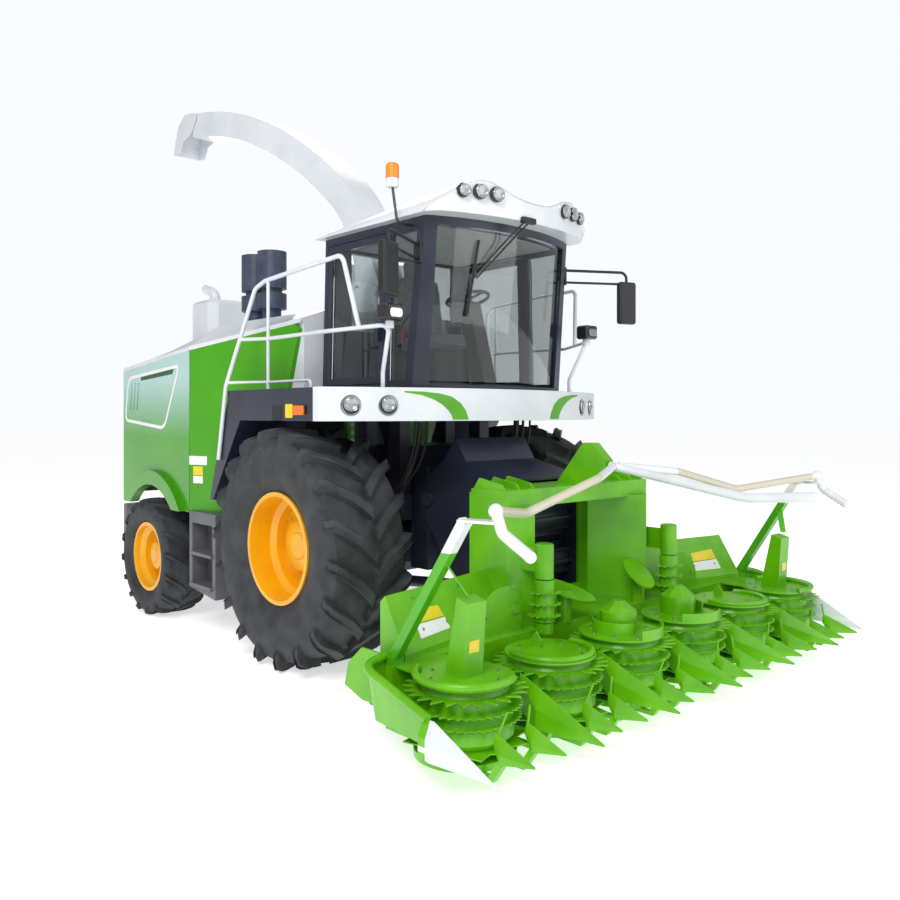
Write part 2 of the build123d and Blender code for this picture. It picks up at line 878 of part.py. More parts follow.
def mirrors():
    """Mirror on a two-bar arm from each front pillar."""
    x, y, z = 1240.0, 1440.0, 3135.0
    lean = (cab_eave_corner_x - cab_floor_corner_x) / (cab_eave_z - cab_floor_z)
    arm_z = z + 290.0
    foot_x = cab_floor_corner_x + lean * (arm_z - cab_floor_z) - 40.0
    foot_y = cab_eave_half + 26.0
    arm = pipe([(foot_x, foot_y, arm_z), (x, y, arm_z), (x, y, z - 60)], 60.0, 13.0)
    stay = bar((foot_x - 10, foot_y + 4, arm_z - 110), (x, y, arm_z - 110), 11.0)
    case = Pos(x, y, z) * Rot(0, 0, -18) * Box(75, 190, 400)
    plate = block(
        (foot_x - 45, foot_x + 35), (cab_eave_half + 10.0 + fit, foot_y + 8),
        (arm_z - 140, arm_z + 25),
    )
    return both_sides(fused([plate, arm, stay, fillet(case.edges(), 26.0)]))


# columns: distance from the middle plane, height above the eave, radius
roof_lamps = ((420.0, 168.0, 62.0), (570.0, 172.0, 62.0), (712.0, 165.0, 56.0))


def roof_front(y):
    """X of the roof's front face at a distance from the middle, and the way it faces."""
    half = cab_eave_half + roof_overhang
    radius = (roof_bow**2 + half**2) / (2 * roof_bow)
    return roof_front_x + roof_bow - radius + sqrt(radius**2 - y**2), degrees(asin(y / radius))


def lamps():
    """Fascia, roof and rail lamps, and the beacon on its bent stalk."""
    pieces = []
    for place in fascia_lamp_places():
        pieces.append(place * Pos(-15.0 + fit, 0, 0) * Rot(0, 90, 0) * Cylinder(fascia_lamp_radius, 30.0))
    for side in sides:
        for y, rise, radius in roof_lamps:
            x, turn = roof_front(side * y)
            spot = Pos(x, side * y, cab_eave_z + rise) * Rot(0, 0, turn)
            pieces.append(spot * Pos(13.0 + fit, 0, 0) * Rot(0, 90, 0) * Cylinder(radius, 26.0))
        x, y = rail_corner
        seat = rail_knee_z + 26.0 + fit
        pieces.append(
            fillet(
                block(
                    (x - 60, x + 75), sorted((side * (y - 85), side * (y + 85))), (seat, seat + 130),
                ).edges(),
                24.0,
            ),
        )
    x, y = 820.0, -cab_eave_half - roof_overhang - 70.0
    # the beacon's stalk stands off the lintel, which leans in towards the eave
    below = 60.0
    lean = (cab_floor_half - cab_eave_half) / (cab_eave_z - cab_floor_z)
    wall = -cab_eave_half - below * lean - 2 * fit
    stalk_z = cab_eave_z - below
    stalk = pipe([(x, wall, stalk_z), (x, y, stalk_z), (x - 60, y, cab_eave_z + 240)], 40.0, 11.0)
    base = upright(x - 60, y, (cab_eave_z + 230, cab_eave_z + 310), 48.0)
    dome = upright(x - 60, y, (cab_eave_z + 305, cab_eave_z + 425), 54.0)
    pieces.append(fused([stalk, base, fillet(dome.edges().group_by(Axis.Z)[-1], 30)]))
    return Compound([solid for piece in pieces for solid in piece.solids()])


# Engine bay


def side_wall(start, end, foot_z, tops):
    """Left body panel between two plan points (x, y), with its own top height at each."""
    (x0, y0), (x1, y1) = start, end
    plate = plan_plate([(x0, y0), (x1, y1), (x1, y1 - panel), (x0, y0 - panel)], (foot_z, max(tops) + 10))
    slope = (tops[0] - tops[1]) / (x0 - x1)
    ends = [(x0 + 50, tops[0] + 50 * slope), (x1 - 50, tops[1] - 50 * slope)]
    over = side_plate([*ends, (x1 - 50, max(tops) + 300), (x0 + 50, max(tops) + 300)], (0, far_out))
    return plate - over


door_split = 12.0


def side_panels():
    """Fixed front panels, from the waist behind the cab to the crease, cut clear of the fenders."""
    left = side_wall(
        (waist_x, waist_half), (crease_x, crease_half), panel_foot_z, (waist_top_z, crease_top_z),
    )
    keep_off = block((fender_rear_x - 15, 0), (0, far_out), (0, deck_z + deck_thickness + 15))
    # the front edge leans back towards its foot, with its top corner cut off
    front = side_plate(
        [
            (waist_x - 70, waist_top_z + 40),
            (waist_x - 70, waist_top_z),
            (waist_x - 15, waist_top_z - 55),
            (waist_x - panel_rake, deck_z),
            (waist_x + 60, deck_z),
            (waist_x + 60, waist_top_z + 40),
        ],
        (0, far_out),
    )
    return both_sides(left - keep_off - front)


arch_radius = rear_tyre_radius + arch_gap


def engine_door():
    """Left rear panel, hung along its top edge, with a flared wheel arch and three air slots."""
    start, end = (crease_x - door_split, crease_half), (tail_x, tail_half)
    foot = panel_foot_z - 20.0
    plate = side_wall(start, end, foot, (crease_top_z - 1.0, tail_top_z - 1.0))
    flare = across_cylinder(rear_axle_x, rear_axle_z, (0, far_out), arch_radius + arch_lip)
    flare &= plan_plate(
        [
            (start[0] - 90, start[1] + 55),
            (end[0] + 90, end[1] + 55),
            (end[0] + 90, end[1] - panel),
            (start[0] - 90, start[1] - panel),
        ],
        (foot, far_out),
    )
    room = across_cylinder(rear_axle_x, rear_axle_z, (0, far_out), arch_radius)
    slots = []
    for index in range(3):
        x = tail_x + 180.0 + 95.0 * index
        slots.append(side_plate([(x, 2130), (x + 34, 2130), (x + 80, 2420), (x + 46, 2420)], (0, far_out)))
    return plate.fuse(flare).cut(room, *slots).clean()


hood_sheet = 40.0
# columns: x, half width, height of the eave, rise of the crown above it
hood_stations = (
    (waist_x, waist_half, waist_top_z + fit, hood_rise_waist),
    (crease_x, crease_half, crease_top_z + fit, hood_rise_crease),
    (tail_x, tail_half, tail_top_z + fit, hood_rise_tail),
)


def hood_section(x, half, eave, rise):
    """Cross-section of the hood: eaves, sloped shoulders and a flat top, one sheet thick."""
    crown = half - hood_shoulder
    points = [
        (half, eave),
        (half, eave + hood_sheet),
        (crown, eave + rise + hood_sheet),
        (-crown, eave + rise + hood_sheet),
        (-half, eave + hood_sheet),
        (-half, eave),
        (-crown, eave + rise),
        (crown, eave + rise),
    ]
    return Plane(origin=(x, 0, 0), x_dir=(0, 1, 0), z_dir=(1, 0, 0)) * make_face(
        Polyline(*points, close=True)
    )


def hood_top(x):
    """Height of the hood's flat top at a place along it."""
    for (x0, _, z0, rise0), (x1, _, z1, rise1) in zip(hood_stations, hood_stations[1:]):
        if x1 <= x <= x0:
            share = (x - x0) / (x1 - x0)
            return z0 + rise0 + (z1 + rise1 - z0 - rise0) * share + hood_sheet


def engine_hood():
    """White top of the engine bay, its bulkhead behind the cab and a cheek inside each side panel."""
    top = loft([hood_section(*station) for station in hood_stations], ruled=True)
    inside = waist_half - panel - fit
    foot = deck_z + deck_thickness
    middle = waist_top_z + fit + hood_sheet / 2
    outline = [
        (inside, foot),
        (inside, middle + hood_rise_waist * (waist_half - inside) / hood_shoulder),
        (waist_half - hood_shoulder, middle + hood_rise_waist),
        (hood_shoulder - waist_half, middle + hood_rise_waist),
        (-inside, middle + hood_rise_waist * (waist_half - inside) / hood_shoulder),
        (-inside, foot),
    ]
    section = Plane(origin=(waist_x, 0, 0), x_dir=(0, 1, 0), z_dir=(1, 0, 0))
    bulkhead = extrude(section * make_face(Polyline(*outline, close=True)), panel, dir=(-1, 0, 0))
    # the cheek shows before the raked edge of the green panel
    reach = panel_rake + 70.0
    splay = (crease_half - waist_half) / (waist_x - crease_x)
    fall = (waist_top_z - crease_top_z) / (waist_x - crease_x)
    tops = (waist_top_z + 20, waist_top_z + 20 - fall * reach)
    cheek_plate = side_wall((waist_x, inside), (waist_x - reach, inside + splay * reach), foot, tops)
    chute = upright(spout_x, 0, (waist_top_z - 300, far_out * 2), turret_radius + 60.0)
    return fused([top - chute, bulkhead - chute, cheek_plate, other_side(cheek_plate)])


def rear_screen():
    """Radiator screen across the tail: a frame, cross slats and two upright bars."""
    half = tail_half - panel - 4.0
    foot, head = panel_foot_z + 60.0, tail_top_z - 4.0
    border = 90.0
    frame = block((tail_x, tail_x + panel), (-half, half), (foot, head))
    frame -= block(
        (tail_x - 1, tail_x + panel + 1), (border - half, half - border),
        (foot + border, head - border),
    )
    pieces = [frame]
    slat_count = 11
    pitch = (head - foot - 2 * border) / slat_count
    for index in range(slat_count):
        z = foot + border + pitch * (index + 0.5)
        pieces.append(
            block((tail_x + 10, tail_x + 30), (border - half - 5, half - border + 5), (z - 24, z + 24)),
        )
    for y in (-half / 3, half / 3):
        pieces.append(
            block((tail_x + 5, tail_x + 35), (y - 16, y + 16), (foot + border - 5, head - border + 5)),
        )
    for side in sides:
        y = sorted((side * (rail_gap / 2), side * (rail_gap / 2 + rail_width)))
        pieces.append(
            block((tail_x + 1, rail_rear_x - fit), y, (panel_foot_z + 70, rail_z + rail_depth - 20))
        )
    return fused(pieces)


hitch_bore = 17.0


def rear_bumper():
    """Ballast beam across the tail on two arms under the rails, with a drawn-pin hitch."""
    beam = block((tail_x - 230, tail_x - 30), (-1450, 1450), (560, 1060))
    beam = chamfer(beam.edges().filter_by(Axis.Z), 60)
    arm = side_plate(
        [
            (tail_x - 40, 800),
            (tail_x - 40, rail_z - fit),
            (rail_rear_x + 330, rail_z - fit),
            (rail_rear_x + 330, 1050),
            (rail_rear_x + 60, 800),
        ],
        (rail_gap / 2, rail_gap / 2 + rail_width),
    )
    tongue = block((tail_x - 360, tail_x - 200), (-80, 80), (780, 840))
    bore = upright(tail_x - 300, 0, (700, 900), hitch_bore)
    return fused([beam, arm, other_side(arm), tongue]) - bore


def on_hood(shape, x, y):
    """The part of a piece that stands above the hood, between X and Y limits."""
    below = side_plate(
        [(x[0], 2000), (x[1], 2000), (x[1], hood_top(x[1]) + fit), (x[0], hood_top(x[0]) + fit)],
        y,
    )
    return shape - below


def exhaust_stack():
    """Boxed silencer on the hood with a hooked tail pipe."""
    x, y, top = (-3300.0, -2750.0), (-800.0, -300.0), 3380.0
    box = chamfer(block(x, y, (hood_top(x[0]) - 200, top)).edges().filter_by(Axis.Z), 90)
    box = chamfer(box.edges().group_by(Axis.Z)[-1], 40)
    box = on_hood(box, (x[0] - 20, x[1] + 20), (y[0] - 20, y[1] + 20))
    pipe_x, pipe_y = -3130.0, -560.0
    elbow = pipe(
        [
            (pipe_x, pipe_y, top - 20), (pipe_x, pipe_y, top + 130),
            (pipe_x - 220, pipe_y, top + 180),
        ], 90.0, 60.0
    )
    return fused([box, elbow])


def air_precleaners():
    """Two stacked intake pre-cleaners on short necks."""
    pieces = []
    for x in (-1700.0, -2030.0):
        y = -650.0
        foot = hood_top(x) - 60
        # columns: foot, head, radius
        stages = ((foot, 3180, 95), (3170, 3330, 150), (3320, 3390, 105), (3380, 3765, 150))
        stack = fused([upright(x, y, (low, high), radius) for low, high, radius in stages])
        below = side_plate(
            [
                (x - 160, 2000), (x + 160, 2000), (x + 160, hood_top(x + 160) + fit),
                (x, hood_top(x) + fit), (x - 160, hood_top(x - 160) + fit),
            ],
            (y - 160, y + 160),
        )
        pieces += (stack - below).solids()
    return Compound(pieces)


def side_skirts():
    """Steel locker below the panel between the wheels, with two steps let into it."""
    inner, outer = rail_gap / 2 + rail_width + fit, 1560.0
    front_x, rear_x = -1170.0, -1700.0
    head = panel_foot_z - fit
    box = side_plate([(front_x, head), (rear_x, head), (rear_x, 420), (front_x, 360)], (inner, outer))
    niche = block((rear_x + 60, front_x - 60), (outer - 170, far_out), (430, 1040))
    steps = [block((rear_x + 50, front_x - 50), (outer - 180, outer + 25), (z, z + 30)) for z in (440, 740)]
    hanger = block((rear_x + 50, front_x - 50), (inner, inner + 60), (head - 10, rail_z + 150))
    return both_sides(fused([box - niche, *steps, hanger]))


# Spout

bend_centre = Vector(spout_x - spout_bend_radius, spout_base_z)
bend_end = radians(spout_bend)
sweep_centre = bend_centre + Vector(cos(bend_end), sin(bend_end)) * (spout_bend_radius - spout_sweep_radius)


def spout_point(offset, angle_deg):
    """Point of the spout's long sweep at an offset outside its middle line, as X and Z."""
    angle = radians(angle_deg)
    spot = sweep_centre + Vector(cos(angle), sin(angle)) * (spout_sweep_radius + offset)
    return spot.X, spot.Y


def spout_band(low, high, y):
    """Curved sheet between two offsets from the middle line, as wide as the Y limits."""
    inner = [
        CenterArc(bend_centre, spout_bend_radius + low, 0, spout_bend),
        CenterArc(sweep_centre, spout_sweep_radius + low, spout_bend, spout_sweep),
    ]
    outer = [
        CenterArc(bend_centre, spout_bend_radius + high, 0, spout_bend),
        CenterArc(sweep_centre, spout_sweep_radius + high, spout_bend, spout_sweep),
    ]
    edges = [
        *inner,
        Line(inner[1] @ 1, outer[1] @ 1),
        *outer,
        Line(inner[0] @ 0, outer[0] @ 0),
    ]
    face = Plane.XZ * make_face(edges)
    return Pos(0, y[0], 0) * extrude(face, y[1] - y[0], dir=(0, 1, 0))


spout_half_height = spout_height / 2
spout_half = spout_width / 2
pivot_x = spout_x + spout_half_height + 34.0
pivot_z = spout_base_z - 40.0


def foot_wedge():
    """What is cut off the foot of the spout so that it can tip back."""
    rise = spout_height * tan(radians(spout_drop))
    points = [
        (spout_x + spout_half_height + 1, spout_base_z - 1),
        (spout_x - spout_half_height - 1, spout_base_z - 1),
        (spout_x - spout_half_height - 1, spout_base_z + rise),
    ]
    return side_plate(points, (-spout_half - 1, spout_half + 1))


def spout_sides():
    """Two flat cheeks of the spout, each with an ear for the lift pin."""
    cheek = spout_band(-spout_half_height, spout_half_height, (spout_half - spout_sheet, spout_half))
    plate = cheek - foot_wedge()
    ear = side_plate(
        [
            (spout_x + spout_half_height - 10, spout_base_z),
            (pivot_x + 36, spout_base_z - 76),
            (pivot_x + 36, spout_base_z + 60),
            (spout_x + spout_half_height - 10, spout_base_z + 260),
        ],
        (spout_half - spout_sheet, spout_half),
    )
    hole = across_cylinder(pivot_x, pivot_z, (0, far_out), spout_pin_radius + fit)
    flap_hole = across_cylinder(*flap_hinge, (0, far_out), flap_pin_radius + fit)
    return both_sides(plate.fuse(ear).clean() - hole - flap_hole)


def spout_skins():
    """Top and floor sheets between the cheeks."""
    inside = spout_half - spout_sheet
    top = spout_band(spout_half_height - spout_sheet, spout_half_height, (-inside, inside))
    floor = spout_band(-spout_half_height, spout_sheet - spout_half_height, (-inside, inside)) - foot_wedge()
    return Compound([*top.solids(), *floor.solids()])


def spout_turret():
    """Slewing ring with a collar, and two cheeks that hold the spout's pin."""
    top = turret_foot_z + turret_height
    collar = upright(spout_x, 0, (turret_foot_z, top), turret_radius)
    collar -= upright(spout_x, 0, (turret_foot_z - 1, top + 1), turret_radius - turret_wall)
    flange = ring(
        spout_x, 0, (turret_foot_z, turret_foot_z + 30), turret_radius + 28.0,
        turret_radius - turret_wall,
    )
    near = spout_half + clearance
    cheeks = []
    for side in sides:
        y = sorted((side * near, side * (near + cheek)))
        cheeks.append(
            side_plate(
                [
                    (spout_x - 170, top - 60),
                    (pivot_x + 40, top - 60),
                    (pivot_x + 40, pivot_z + 60),
                    (spout_x + 60, pivot_z + 130),
                    (spout_x - 170, pivot_z + 60),
                ],
                y,
            )
        )
    pin = across_cylinder(pivot_x, pivot_z, (-near - cheek - 8, near + cheek + 8), spout_pin_radius)
    return fused([collar, flange, *cheeks, pin])


flap_angle = radians(90.0 - (spout_bend + spout_sweep))
flap_pin_radius = 12.0
flap_hinge = spout_point(spout_half_height - 30.0, spout_bend + spout_sweep - 0.4)


def from_hinge(points):
    """Points given as distance beyond the flap's hinge and height above it, as X and Z."""
    spots = []
    for out, up in points:
        x = flap_hinge[0] - out * cos(flap_angle) + up * sin(flap_angle)
        spots.append((x, flap_hinge[1] + out * sin(flap_angle) + up * cos(flap_angle)))
    return spots


def spout_flap():
    """Hood at the end of the spout: two cheeks and a bent top sheet, hung on two stub pins."""
    near = spout_half + clearance
    # columns: distance beyond the hinge, height above it
    back = [(58, 42), (300, 42), (470, -90), (540, -300), (560, -470)]
    under = [(58, 34), (297, 34), (463, -94), (532, -301), (552, -470)]
    front = [(380, -470), (310, -310), (90, -230), (-40, -60), (-40, 24), (40, 24)]
    cheek_left = side_plate(from_hinge([*back, *front]), (near, near + spout_sheet))
    pin = across_cylinder(
        *flap_hinge, (spout_half - spout_sheet - 4, near + spout_sheet + 10), flap_pin_radius,
    )
    left = fused([cheek_left, pin])
    top = side_plate(from_hinge([*back, *under[::-1]]), (-near - 1, near + 1))
    return fused([top, left, other_side(left)])


# Feeder and header lift

cylinder_foot = (120.0, 600.0)
cylinder_eye = (1250.0, 700.0)
foot_pin_radius = 22.0
eye_pin_radius = 20.0


def feeder_house():
    """Feed channel: two side plates, a stepped lid and a floor, hung on the lift pin."""
    outline = [
        (lift_x - 110, lift_z - 110),
        (lift_x - 110, lift_z + 110),
        (700, 1690),
        (860, 1880),
        (985, 1690),
        (feeder_front_x, 1570),
        (feeder_front_x, feeder_foot_z),
        (900, feeder_foot_z),
    ]
    cheek_left = side_plate(outline, (feeder_half - feeder_plate, feeder_half))
    cheek_left -= across_cylinder(lift_x, lift_z, (0, far_out), lift_pin_radius + fit)
    lid = side_plate(
        [
            (790, 1797),
            (860, 1880),
            (985, 1690),
            (feeder_front_x, 1570),
            (feeder_front_x, 1545),
            (972, 1668),
            (858, 1842),
            (806, 1780),
        ],
        (-feeder_half + 1, feeder_half - 1),
    )
    floor = block(
        (900, feeder_front_x), (-feeder_half + 1, feeder_half - 1),
        (feeder_foot_z, feeder_foot_z + feeder_plate),
    )
    x, z = cylinder_eye
    lug = block((x - 60, x + 60), (cylinder_y + 38, cylinder_y + 52), (z - 50, z + 50))
    pin = across_cylinder(x, z, (feeder_half - 1, cylinder_y + 51), eye_pin_radius)
    bearings = [
        across_cylinder(feed_roll_x, z, (feeder_half - feeder_plate - 60, feeder_half - 1), 42.0)
        for z in feed_roll_z
    ]
    left = fused([cheek_left, lug, pin, *bearings])
    return fused([left, other_side(left), lid, floor])


def feed_roll(z):
    """Toothed feed roll across the channel, hollow over its two stub bearings."""
    half = feeder_half - feeder_plate - clearance
    pieces = [across_cylinder(feed_roll_x, z, (-half, half), feed_roll_radius - 38)]
    tooth = block(
        (feed_roll_x - 10, feed_roll_x + 10), (-half, half),
        (z + feed_roll_radius - 60, z + feed_roll_radius),
    )
    axle = Axis((feed_roll_x, 0, z), (0, 1, 0))
    for index in range(roll_bar_count):
        pieces.append(tooth.rotate(axle, 360 / roll_bar_count * (index + 0.5)))
    sockets = [
        across_cylinder(feed_roll_x, z, sorted((side * (half - 70), side * (half + 1))), 42.0 + fit)
        for side in sides
    ]
    return fused(pieces).cut(*sockets)


def along_cylinder(share, y):
    """Point on a lift cylinder's line, as a share of the way from its foot to its eye."""
    (x0, z0), (x1, z1) = cylinder_foot, cylinder_eye
    return (x0 + (x1 - x0) * share, y, z0 + (z1 - z0) * share)


def lift_barrel():
    """Left lift cylinder, its foot eye on the axle's pin."""
    x, z = cylinder_foot
    barrel = bar(along_cylinder(0.13, cylinder_y), along_cylinder(0.62, cylinder_y), cylinder_radius)
    neck = bar(along_cylinder(0.0, cylinder_y), along_cylinder(0.14, cylinder_y), 30.0)
    eye = across_cylinder(x, z, (cylinder_y - 34, cylinder_y + 34), 50.0)
    hole = across_cylinder(x, z, (cylinder_y - 60, cylinder_y + 60), foot_pin_radius + fit)
    bore = bar(along_cylinder(0.16, cylinder_y), along_cylinder(1.0, cylinder_y), rod_radius + fit)
    return fused([barrel, neck, eye]) - hole - bore


def lift_rod():
    """Left cylinder rod, with a roomy eye round the feeder's pin."""
    x, z = cylinder_eye
    rod = bar(along_cylinder(0.21, cylinder_y), along_cylinder(0.985, cylinder_y), rod_radius)
    eye = across_cylinder(x, z, (cylinder_y - 30, cylinder_y + 30), 46.0)
    hole = across_cylinder(x, z, (cylinder_y - 31, cylinder_y + 31), eye_pin_radius + 8.0)
    return fused([rod, eye]) - hole


# Header

portal_x = feeder_front_x + fit
portal_half = 860.0
column_top_z = 1410.0
post_radius = 50.0


def throat_portal():
    """Back plate with the throat, two tapering columns and the ribbed top beam."""
    plate = block((portal_x, portal_x + 40), (-portal_half, portal_half), (beam_foot_z + 20, 1500))
    plate -= block((0, far_out), (-throat_half, throat_half), (feeder_foot_z + feeder_plate, throat_top_z))
    pieces = [plate, block((portal_x + 20, 1860), (-portal_half, portal_half), (column_top_z - 10, 1530))]
    column = plan_plate(
        [
            (portal_x, throat_half + 2),
            (1600, throat_half + 2),
            (1980, 690),
            (1860, portal_half),
            (portal_x, portal_half),
        ],
        (deck_foot_z - 50, column_top_z),
    )
    rib = [(portal_x + 10, 1500), (1860, 1500), (1800, 1570), (1570, 1610)]
    ribs = [side_plate(rib, (y - 8, y + 8)) for y in (540, 690, 840)]
    for shape in [column, *ribs]:
        pieces += [shape, other_side(shape)]
    bracket = side_plate(
        [(1620, 1520), (1850, 1520), (2110, 1640), (2120, 1730), (1990, 1860), (1900, 1860)],
        (-45, 45),
    )
    return fused([*pieces, bracket])


def deck_section(y, x):
    """Side view of the sloping cover at one place across the header, moved along X."""
    points = [
        (x, deck_foot_z - 60),
        (x, deck_top_z - 40),
        (x + 45, deck_top_z),
        (x + 245, deck_foot_z),
        (x + 245, deck_foot_z - 60),
    ]
    return Pos(0, y, 0) * make_face(Plane.XZ * Polyline(*points, close=True))



def leaf_cover():
    """Tilted oval cover on a short post beside the throat."""
    x, y, z = 2060.0, 460.0, 800.0
    leaf = Pos(x, y, z) * Rot(0, 22, 0) * Rot(0, 0, -35) * extrude(Ellipse(235, 112), 12.0)
    return fused([leaf, upright(x, y, (deck_foot_z - 50, z + 4), 52.0)])


def stripper_plate():
    """Upright quarter-round plate behind the second rotor, slotted for the drum's teeth."""
    near, far = drum_y + drum_radius + 18.0, drum_y + 560.0
    foot, head, corner = deck_foot_z - 50.0, 905.0, 250.0
    face = make_face(
        [
            Line((near, foot), (far, foot)),
            Line((far, foot), (far, head - corner)),
            RadiusArc((far, head - corner), (far - corner, head), -corner),
            Line((far - corner, head), (near, head)),
            Line((near, head), (near, foot)),
        ]
    )
    x = beam_front_x - 60.0
    plate = extrude(Plane(origin=(x, 0, 0), x_dir=(0, 1, 0), z_dir=(1, 0, 0)) * face, 10.0)
    slots = [block((x - 5, x + 15), (near - 5, near + 80), (z, z + 16)) for z in (690, 770, 850)]
    return plate.cut(*slots)


def header_wing():
    """Left half outside the portal: sloping cover, drum post with its cap, end plate and rotor pans."""
    cover_ends = ((portal_half - 5, beam_rear_x - 80), (beam_half - 110, beam_front_x - 250))
    cover = loft([deck_section(*end) for end in cover_ends], ruled=True)
    drum_head = drum_foot_z + drum_height
    post = upright(drum_x, drum_y, (deck_foot_z - 60, drum_head + 40), post_radius)
    cap = upright(drum_x, drum_y, (drum_head + clearance, drum_head + drum_cap_height), drum_cap_radius)
    cap = chamfer(cap.edges().group_by(Axis.Z)[-1], 8.0)
    step = upright(drum_x, drum_y, (deck_foot_z - 60, drum_foot_z - clearance), drum_cap_radius - 4.0)
    step_foot = block(
        (beam_front_x - 60, drum_x), (drum_y - 50, drum_y + 50),
        (deck_foot_z - 70, deck_foot_z - 30),
    )
    guide = block((1900, drum_x - 40), (drum_y - 6, drum_y + 6), (drum_head + 40, drum_head + 210))
    end_plate = side_plate(
        [
            (beam_end_x - 240, 370),
            (beam_end_x - 200, 520),
            (beam_end_x - 60, deck_foot_z + 20),
            (beam_end_x + 115, deck_foot_z + 20),
            (beam_end_x + 115, beam_foot_z + 25),
            (beam_end_x - 50, beam_foot_z + 15),
        ],
        (beam_half - 2, beam_half + 12),
    )
    pieces = [cover, post, cap, step, step_foot, guide, end_plate, leaf_cover(), stripper_plate()]
    for y in rotor_ys:
        if y > 0:
            lane = (y - 110, y + 110)
            pieces.append(
                block((beam_front_x - 200, rotor_x), lane, (pan_foot_z, pan_foot_z + pan_thickness))
            )
            pieces.append(
                block((beam_front_x - 200, beam_front_x - 20), lane, (pan_foot_z, beam_foot_z + 10))
            )
            pieces.append(upright(rotor_x, y, (pan_foot_z, pan_foot_z + pan_thickness), 300.0))
    return fused(pieces)


def header_frame():
    """Whole welded frame on the gear beam, which narrows towards its ends."""
    rear = [
        (portal_x, portal_half), (beam_rear_x - 60, portal_half), (beam_end_x, beam_half),
        (beam_front_x, beam_half),
    ]
    gear_beam = plan_plate(rear + [(x, -y) for x, y in rear[::-1]], (beam_foot_z, deck_foot_z - 40))
    wing = header_wing()
    return fused([gear_beam, throat_portal(), wing, other_side(wing)])


def star(x, y, z, thickness, tip, root, teeth):
    """Flat disc with pointed teeth."""
    points = []
    for index in range(2 * teeth):
        radius = tip if index % 2 == 0 else root
        angle = pi * index / teeth
        points.append((x + radius * cos(angle), y + radius * sin(angle)))
    return plan_plate(points, (z, z + thickness))


# columns: height above the rotor's foot, tip radius and root radius as shares, teeth
rotor_discs = (
    (8.0, 1.0, 0.80, 12), (150.0, 0.90, 0.84, 42), (220.0, 0.92, 0.85, 42), (300.0, 1.0, 0.78, 24),
)
disc_thickness = 8.0


def rotor(y):
    """Gathering rotor: a stepped drum with a knife disc and three toothed discs."""
    # columns: radius, height above the foot
    drum = [
        (spindle_radius + fit, 0),
        (250, 0),
        (250, 20),
        (285, 60),
        (285, 130),
        (262, 225),
        (262, 300),
        (240, rotor_height),
        (spindle_radius + fit, rotor_height),
    ]
    face = make_face(Plane.XZ * Polyline(*drum, close=True))
    body = Pos(rotor_x, y, rotor_foot_z) * revolve(face, Axis.Z)
    hole = upright(rotor_x, y, (0, far_out), spindle_radius + fit)
    pieces = [body]
    for rise, tip, root, teeth in rotor_discs:
        disc = star(
            rotor_x, y, rotor_foot_z + rise, disc_thickness, tip * rotor_radius,
            root * rotor_radius, teeth,
        )
        pieces.append(disc - hole)
    return fused(pieces)


cover_z = rotor_foot_z + rotor_height + 12.0
cover_radius = 292.0
cover_plate = 12.0


def tube_arc(x, y, z, radius, tube, start, turn):
    """Round tube bent along part of a circle about a vertical axis."""
    path = Pos(0, 0, z) * CenterArc((x, y), radius, start, turn)
    return sweep(Plane(origin=path @ 0, z_dir=path % 0) * Circle(tube), path)


def band(x, y, z, outer, inner, start, turn):
    """Part of a flat ring about a vertical axis."""
    far_arc = CenterArc((x, y), outer, start, turn)
    near_arc = CenterArc((x, y), inner, start, turn)
    ends = [Line(far_arc @ end, near_arc @ end) for end in (0, 1)]
    return Pos(0, 0, z[0]) * extrude(make_face([far_arc, near_arc, *ends]), z[1] - z[0])


def outer_cover_tops(y):
    """Leaning post and half-round guard tube of an end rotor, on a plate that runs back to the beam."""
    apron = block((beam_front_x + fit, rotor_x), (y - 200, y + 190), (cover_z, cover_z + cover_plate))
    post = side_plate(
        [
            (rotor_x - 95, cover_z + 6),
            (rotor_x + 65, cover_z + 6),
            (rotor_x + 95, cover_z + 445),
            (rotor_x + 5, cover_z + 470),
        ],
        (y - 78, y + 72),
    )
    return [apron, post, tube_arc(rotor_x, y, cover_z + 28, cover_radius - 2.0, 24.0, -25, 175)]


def second_cover_tops(y):
    """Open ring of tube and a small fin."""
    fin = [
        (rotor_x - 150, cover_z + 6),
        (rotor_x - 90, cover_z + 6),
        (rotor_x - 75, cover_z + 60),
        (rotor_x - 120, cover_z + 115),
        (rotor_x - 165, cover_z + 60),
    ]
    return [
        side_plate(fin, (y - 5, y + 5)),
        tube_arc(rotor_x, y, cover_z + 24, cover_radius - 30.0, 20.0, -100, 215),
    ]


def middle_cover_tops(y):
    """Gearbox drum with a faceted dome, and two strap plates round the edge."""
    drum = upright(rotor_x - 20, y, (cover_z + 6, cover_z + 150), 128.0)
    dome = Pos(rotor_x - 20, y, cover_z + 149) * extrude(RegularPolygon(126, 8), 70.0, taper=48)
    strap = band(rotor_x, y, (cover_z + 6, cover_z + 72), cover_radius - 1.0, cover_radius - 11.0, -55, 80)
    inner_strap = band(rotor_x - 20, y, (cover_z + 8, cover_z + 96), 184.0, 174.0, 20, 150)
    return [drum, dome, strap, inner_strap]


def rotor_cover(y):
    """Fixed cover of a left rotor on its spindle, with what stands on it."""
    spindle = upright(rotor_x, y, (pan_foot_z + pan_thickness + fit, cover_z + 5), spindle_radius)
    plate = upright(rotor_x, y, (cover_z, cover_z + cover_plate), cover_radius)
    place_from_middle = round(y / rotor_pitch - 0.5)
    tops = (middle_cover_tops, second_cover_tops, outer_cover_tops)[min(place_from_middle, 2)](y)
    return fused([spindle, plate, *tops])


def rotor_covers():
    """One cover above each rotor."""
    lefts = [rotor_cover(y) for y in rotor_ys if y > 0]
    return Compound([solid for cover in lefts for solid in both_sides(cover).solids()])


